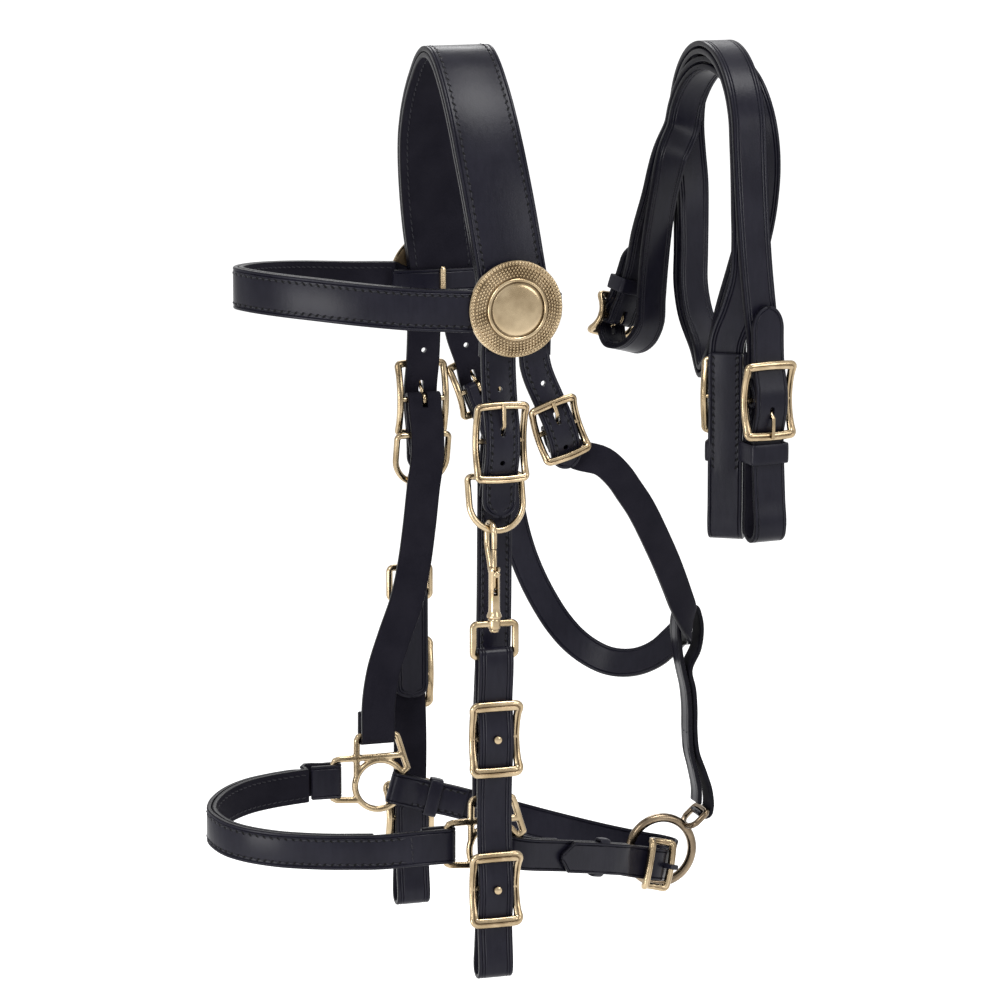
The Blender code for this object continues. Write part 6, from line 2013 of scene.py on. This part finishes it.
        stud = [(0.0002, 0.0), (r, 0.0), (r, reach - 0.002), (r + 0.0006, reach - 0.0016),
                (r + 0.0008, reach - 0.001), (r + 0.0006, reach - 0.0005), (r * 0.9, reach - 0.0001),
                (0.0002, reach)]
        room = r + 2 * CLEARANCE
        holes = []
        for level, drop in (("upper", upper), ("lower", lower)):
            bar = place.moved(0.0, drop)
            holes.append(Bench.punch(bar, 0.0, room, room, 0.0, 0.01))
            button = Bench.turn(bar.origin, bar.out, stud, 24)
            shop.brass(f"conway_{level}_{side.word}", [*shape.cast(bar), button])
        work = Work(creases=(0.0019, 0.0034), tip=0.006, tail=0.006)
        shop.strap("bit_hanger_" + side.word, stations, work, holes)


# Reins


@dataclass(frozen=True)
class Reins:
    """Two reins hung in a bundle, their bit ends with buckles, and the centre buckle that joins them."""

    width: float = 0.019
    top: float = 0.0038
    arch: float = 0.048
    bit_drop: float = 0.261
    buckle_drop: float = 0.183
    loop: float = 0.0062
    across: tuple = (-0.12, 0.993, 0.0)
    far_across: tuple = (-0.3, 0.954, 0.0)     # the same below the far side of the bundle
    lean: tuple = (-0.05, -0.28, -0.96)         # how the centre buckle hangs
    keeper_rear: float = -0.0062                # the far keeper's rear side, held between two layers
    twist: float = radians(-32.0)

    @property
    def wide(self) -> Vector:
        """Direction across the hanging reins."""
        return vec(*self.across).normalized()

    @property
    def far_wide(self) -> Vector:
        """Direction across them below the far side of the bundle."""
        return vec(*self.far_across).normalized()

    def places(self) -> dict[str, Place]:
        """Axes at the middle bars of the three rein buckles; along runs down."""
        down = -UP
        turned = vec(-sin(self.twist), cos(self.twist), 0)
        lean = vec(*self.lean).normalized()
        wide = (self.far_wide - lean * self.far_wide.dot(lean)).normalized()
        return {"near": Place(vec(0.0515, 0.1575, -self.buckle_drop), down.cross(self.wide), down, self.wide),
                "far": Place(vec(0.0262, 0.1452, -self.buckle_drop - 0.002), turned.cross(down), down,
                             turned),
                "centre": Place(vec(-0.06, 0.1128, -0.153), wide.cross(lean), lean, wide)}

    def through(self, points: Sequence[tuple], across: Vector | None = None) -> list[Station]:
        """Stations of a rein through points."""
        return course([vec(*p) for p in points], across or self.wide, self.width, LAYER)

    def over_top(self, radius: float, front: float, back: float) -> list[Station]:
        """Knots over the top of the hanging bundle, from its front leg to its back leg."""
        line = arc((0.0, self.top - self.arch), radius, 0, 180, 12)
        return self.through([(x, front + (back - front) * i / 12, z) for i, (x, z) in enumerate(line)], BACK)

    def folded(self, place: Place) -> list[Station]:
        """The rein's end folded round a middle bar, from the layer above to the cut end outside."""
        end = -0.0043 + CHAPE + 2 * CLEARANCE
        section = [(-0.0045, -0.03), (-0.0043, -0.012), (-FOLD, -0.003), *arc((0.0, 0.0), FOLD, 180, 0, 6),
                   (FOLD - 0.0009, -0.0048), (-0.0006, -0.0088), (end, -0.0115)]
        return place.strap(section, self.width, CHAPE)

    def build(self, shop: Workshop) -> None:
        """Makes the reins and their brass."""
        step = LAYER + 4 * CLEARANCE
        places = self.places()
        centre = places["centre"]
        fall = [(-0.04, 0.1463, -0.1138), (-0.0345, 0.1443, -0.1319)]
        bend = [(-0.014, 0.1472, -0.1646), (-0.002, 0.1475, -0.1771), (0.0118, 0.1485, -0.164),
                (0.017, 0.152, -0.14), (0.024, 0.156, -0.1165), (0.0325, 0.159, -0.0913)]
        knots = self.over_top(self.arch, 0.1475, 0.1465) + self.through([(-0.048, 0.149, -0.076)])
        knots += self.through(fall, self.far_wide)
        knots += self.through([(-0.027, 0.1443, -0.1464)], vec(-0.22, 0.976, 0.0)) + self.through(bend)
        bundle = flow(knots + self.over_top(self.arch - 2 * step, 0.1579, 0.1411), 0.017)
        self._near(shop, places["near"], centre, bundle)
        self._far(shop, places["far"], centre, free(lifted(bundle, step)))
        for word, rear in (("near", -0.0086), ("far", self.keeper_rear)):
            place = places[word]
            self._billet(shop, word, place)
            shop.buckle("rein_{}_" + word, REIN_BUCKLE, place, 1.0)
            seat = place.moved(0.0, 0.029)
            keeper(shop, "rein_keeper_" + word, seat, rear, 0.0042, self.width / 2, 0.011)
        shop.buckle("rein_centre_{}", CENTRE_BUCKLE, centre, 1.0)
        seat = centre.moved(0.0, -0.019)
        keeper(shop, "rein_centre_keeper", seat, -0.0061, 0.0035, self.width / 2, 0.008)

    def _buckle_end(self, place: Place) -> list[Station]:
        """A rein's bit end, from its cut end round the buckle's bar upwards."""
        end = self.folded(place)[::-1]
        end[-1] = replace(end[-1], thick=LAYER)
        end[-2] = replace(end[-2], thick=LAYER * 0.9)
        return end

    def _near(self, shop: Workshop, place: Place, centre: Place, body: list[Station]) -> None:
        """The near rein, which carries the centre buckle."""
        end = self._buckle_end(place)
        leg = self.through([(0.048, 0.1518, -0.11)])
        tail = self.through([(-0.0362, 0.1325, -0.0593)])
        tail += self.through([(-0.0385, 0.1266, -0.0815), (-0.0475, 0.124, -0.103)], self.far_wide)
        last = self.folded(centre)
        last[0] = replace(last[0], thick=LAYER * 0.9)
        stations = end[:-1] + flow([end[-1], *leg, *body, *tail, last[0]], 0.017) + last[1:]
        cutters = [bar_slot(centre), bar_slot(place)]
        shop.strap("rein_near", stations[::-1], Work(creases=(0.0019, 0.0034), lined=True), cutters)

    def _far(self, shop: Workshop, place: Place, centre: Place, body: list[Station]) -> None:
        """The far rein, whose other end is the centre buckle's billet."""
        end = self._buckle_end(place)
        leg = self.through([(0.0385, 0.1506, -0.12)], vec(0.3, 0.954, 0.0))
        leg += self.through([(0.0436, 0.1485, -0.08)])
        drop = self.through([(-0.03, 0.133, -0.0587)])
        low_drop = [(-0.032, 0.129, -0.0781), (-0.04, 0.1268, -0.1113), (-0.043, 0.1255, -0.1406)]
        drop += self.through(low_drop, self.far_wide)
        sweep = ((-0.0206, -0.002, 0.005), (-0.019, 0.006, 0.0046), (-0.0145, 0.012, 0.0036),
                 (-0.008, 0.015, 0.0022), (-0.0022, 0.0142, 0.001))
        bottom = course([centre.at(*p) for p in sweep], centre.across, self.width, LAYER)
        under = SMALL_UNDER - LAYER / 2
        over = OVER + LAYER / 2
        half_high = CENTRE_BUCKLE.half_high
        section = [(under - 0.0008, half_high), (over - 0.0004, 0.0042), (over, 0.0),
                   (over - 0.0004, -0.0042), (under, -half_high), (0.0014, -0.02), (0.0012, -0.042)]
        tail = centre.strap(section, self.width, LAYER)
        stations = end[:-1] + flow([end[-1], *leg, *body, *drop, *bottom, tail[0]], 0.017)
        stations += flow(tail[:6], 0.0032)[1:] + tail[6:]
        work = Work(creases=(0.0019, 0.0034), tail=0.01, lined=True)
        cutters = [bar_slot(place), *tongue_holes(centre, 1, (-0.027,))]
        shop.strap("rein_far", stations[::-1], work, cutters)

    def _billet(self, shop: Workshop, word: str, place: Place) -> None:
        """Strap stitched behind the rein's end, round the bit and up through the buckle."""
        half_high = REIN_BUCKLE.half_high
        over = OVER + LAYER / 2
        under = UNDER - LAYER / 2
        behind = -0.004 - CHAPE / 2 - CLEARANCE - LAYER / 2
        bottom = self.bit_drop - self.buckle_drop - self.loop - LAYER / 2
        middle = behind + self.loop
        back = [(behind - 0.0012, -0.025), (behind - 0.0009, -0.012), (behind, 0.0), (behind, 0.03),
                (behind + 0.0003, bottom - 0.012)]
        loop = arc((middle, bottom), self.loop, 180, 0, 6)
        front = [(middle + self.loop - 0.0014, bottom - 0.016), (under + 0.0006, 0.029), (under, half_high),
                 (over - 0.0003, 0.0052), (over, 0.0), (over - 0.0003, -0.0052), (under, -half_high),
                 (0.0006, -0.027), (0.0004, -0.051)]
        back, loop, front = (place.strap(part, self.width, LAYER) for part in (back, loop, front))
        stations = flow(back, 0.012) + loop + flow(front, 0.0065)
        work = Work(seam=0.003, stitched=((0.0, 0.064),), creases=(0.0019,), tip=0.013)
        shop.strap("rein_billet_" + word, stations, work, tongue_holes(place, 1, (0.03,)))


class Studio:
    """Camera, lamps, floor and background."""

    aim = vec(0.0, 0.0239, -0.2395)
    distance = 2.5
    azimuth = radians(72.0)
    elevation = radians(11.0)
    lens = 166.5
    sensor = 36.0
    floor_level = -0.8
    floor_glow = 0.62
    fill = 0.55
    lamps = (("key", (1.5, -1.5, 1.1), 0.9, 23.0), ("side", (1.8, 1.2, 0.4), 0.7, 8.0),
             ("back", (-1.6, 0.4, 1.2), 0.8, 12.0), ("top", (0.62, 0.56, 1.7), 0.85, 29.0),
             ("front", (0.84, -1.42, -0.42), 0.6, 12.0))

    def build(self) -> None:
        """Puts up the whole studio."""
        self._camera()
        self._world()
        self._lamps()
        self._floor()
        bpy.context.scene.view_settings.view_transform = "Standard"

    def _camera(self) -> None:
        """The photograph's camera."""
        right = vec(cos(self.azimuth), sin(self.azimuth), 0)
        level = vec(sin(self.azimuth), -cos(self.azimuth), 0)
        back = level * cos(self.elevation) + vec(0, 0, sin(self.elevation))
        camera = Bench.added(bpy.ops.object.camera_add)
        camera.name = "photo_camera"
        turn = Matrix((right, back.cross(right), back)).transposed().to_4x4()
        camera.matrix_world = Matrix.Translation(self.aim + back * self.distance) @ turn
        camera.data.lens = self.lens
        camera.data.sensor_width = self.sensor
        bpy.context.scene.camera = camera

    def _world(self) -> None:
        """A white background and a soft fill light."""
        world = bpy.data.worlds.new("studio_world")
        bpy.context.scene.world = world
        tree = Tree(world)
        white = (1.0, 1.0, 1.0)
        fill, shown = (tree.node("ShaderNodeBackground", None, {"Color": white, "Strength": strength})
                       for strength in (self.fill, 1.0))
        mixed = tree.node("ShaderNodeMixShader", None, {0: tree.seen(), 1: fill, 2: shown})
        tree.feed(tree.nodes["World Output"].inputs[0], mixed)

    def _lamps(self) -> None:
        """Softboxes round the bridle."""
        for name, origin, size, power in self.lamps:
            lamp = Bench.added(bpy.ops.object.light_add, type="AREA")
            lamp.name = name + "_softbox"
            lamp.data.shape = "SQUARE"
            lamp.data.size = size
            lamp.data.energy = power
            turn = (Vector(origin) - self.aim).to_track_quat("Z", "Y").to_matrix().to_4x4()
            lamp.matrix_world = Matrix.Translation(Vector(origin)) @ turn

    def _floor(self) -> None:
        """A pale floor well under the hanging bridle, which keeps its shadow."""
        floor = Bench.added(bpy.ops.mesh.primitive_plane_add, size=60.0, location=(0, 0, self.floor_level))
        floor.name = "studio_floor"
        shader = Shader("pale_floor")
        glow = shader.node("ShaderNodeEmission", None, {"Strength": shader.seen() * self.floor_glow})
        body = Socket(shader, shader.body.outputs[0])
        added = shader.node("ShaderNodeAddShader", None, {0: body, 1: glow})
        shader.feed(shader.nodes["Material Output"].inputs[0], added)
        floor.data.materials.append(shader.dress(Base_Color=(0.86, 0.86, 0.86), Roughness=0.9))


def main() -> None:
    """Builds the studio and every piece."""
    logging.basicConfig(level=logging.INFO, format="%(message)s")
    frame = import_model()
    shop = Workshop(frame)
    Studio().build()
    HeadPiece().build(shop)
    halter = Halter()
    halter.build(shop)
    for side in Side:
        BitHanger().build(shop, halter, side)
    Reins().build(shop)


if __name__ == "__main__":
    main()
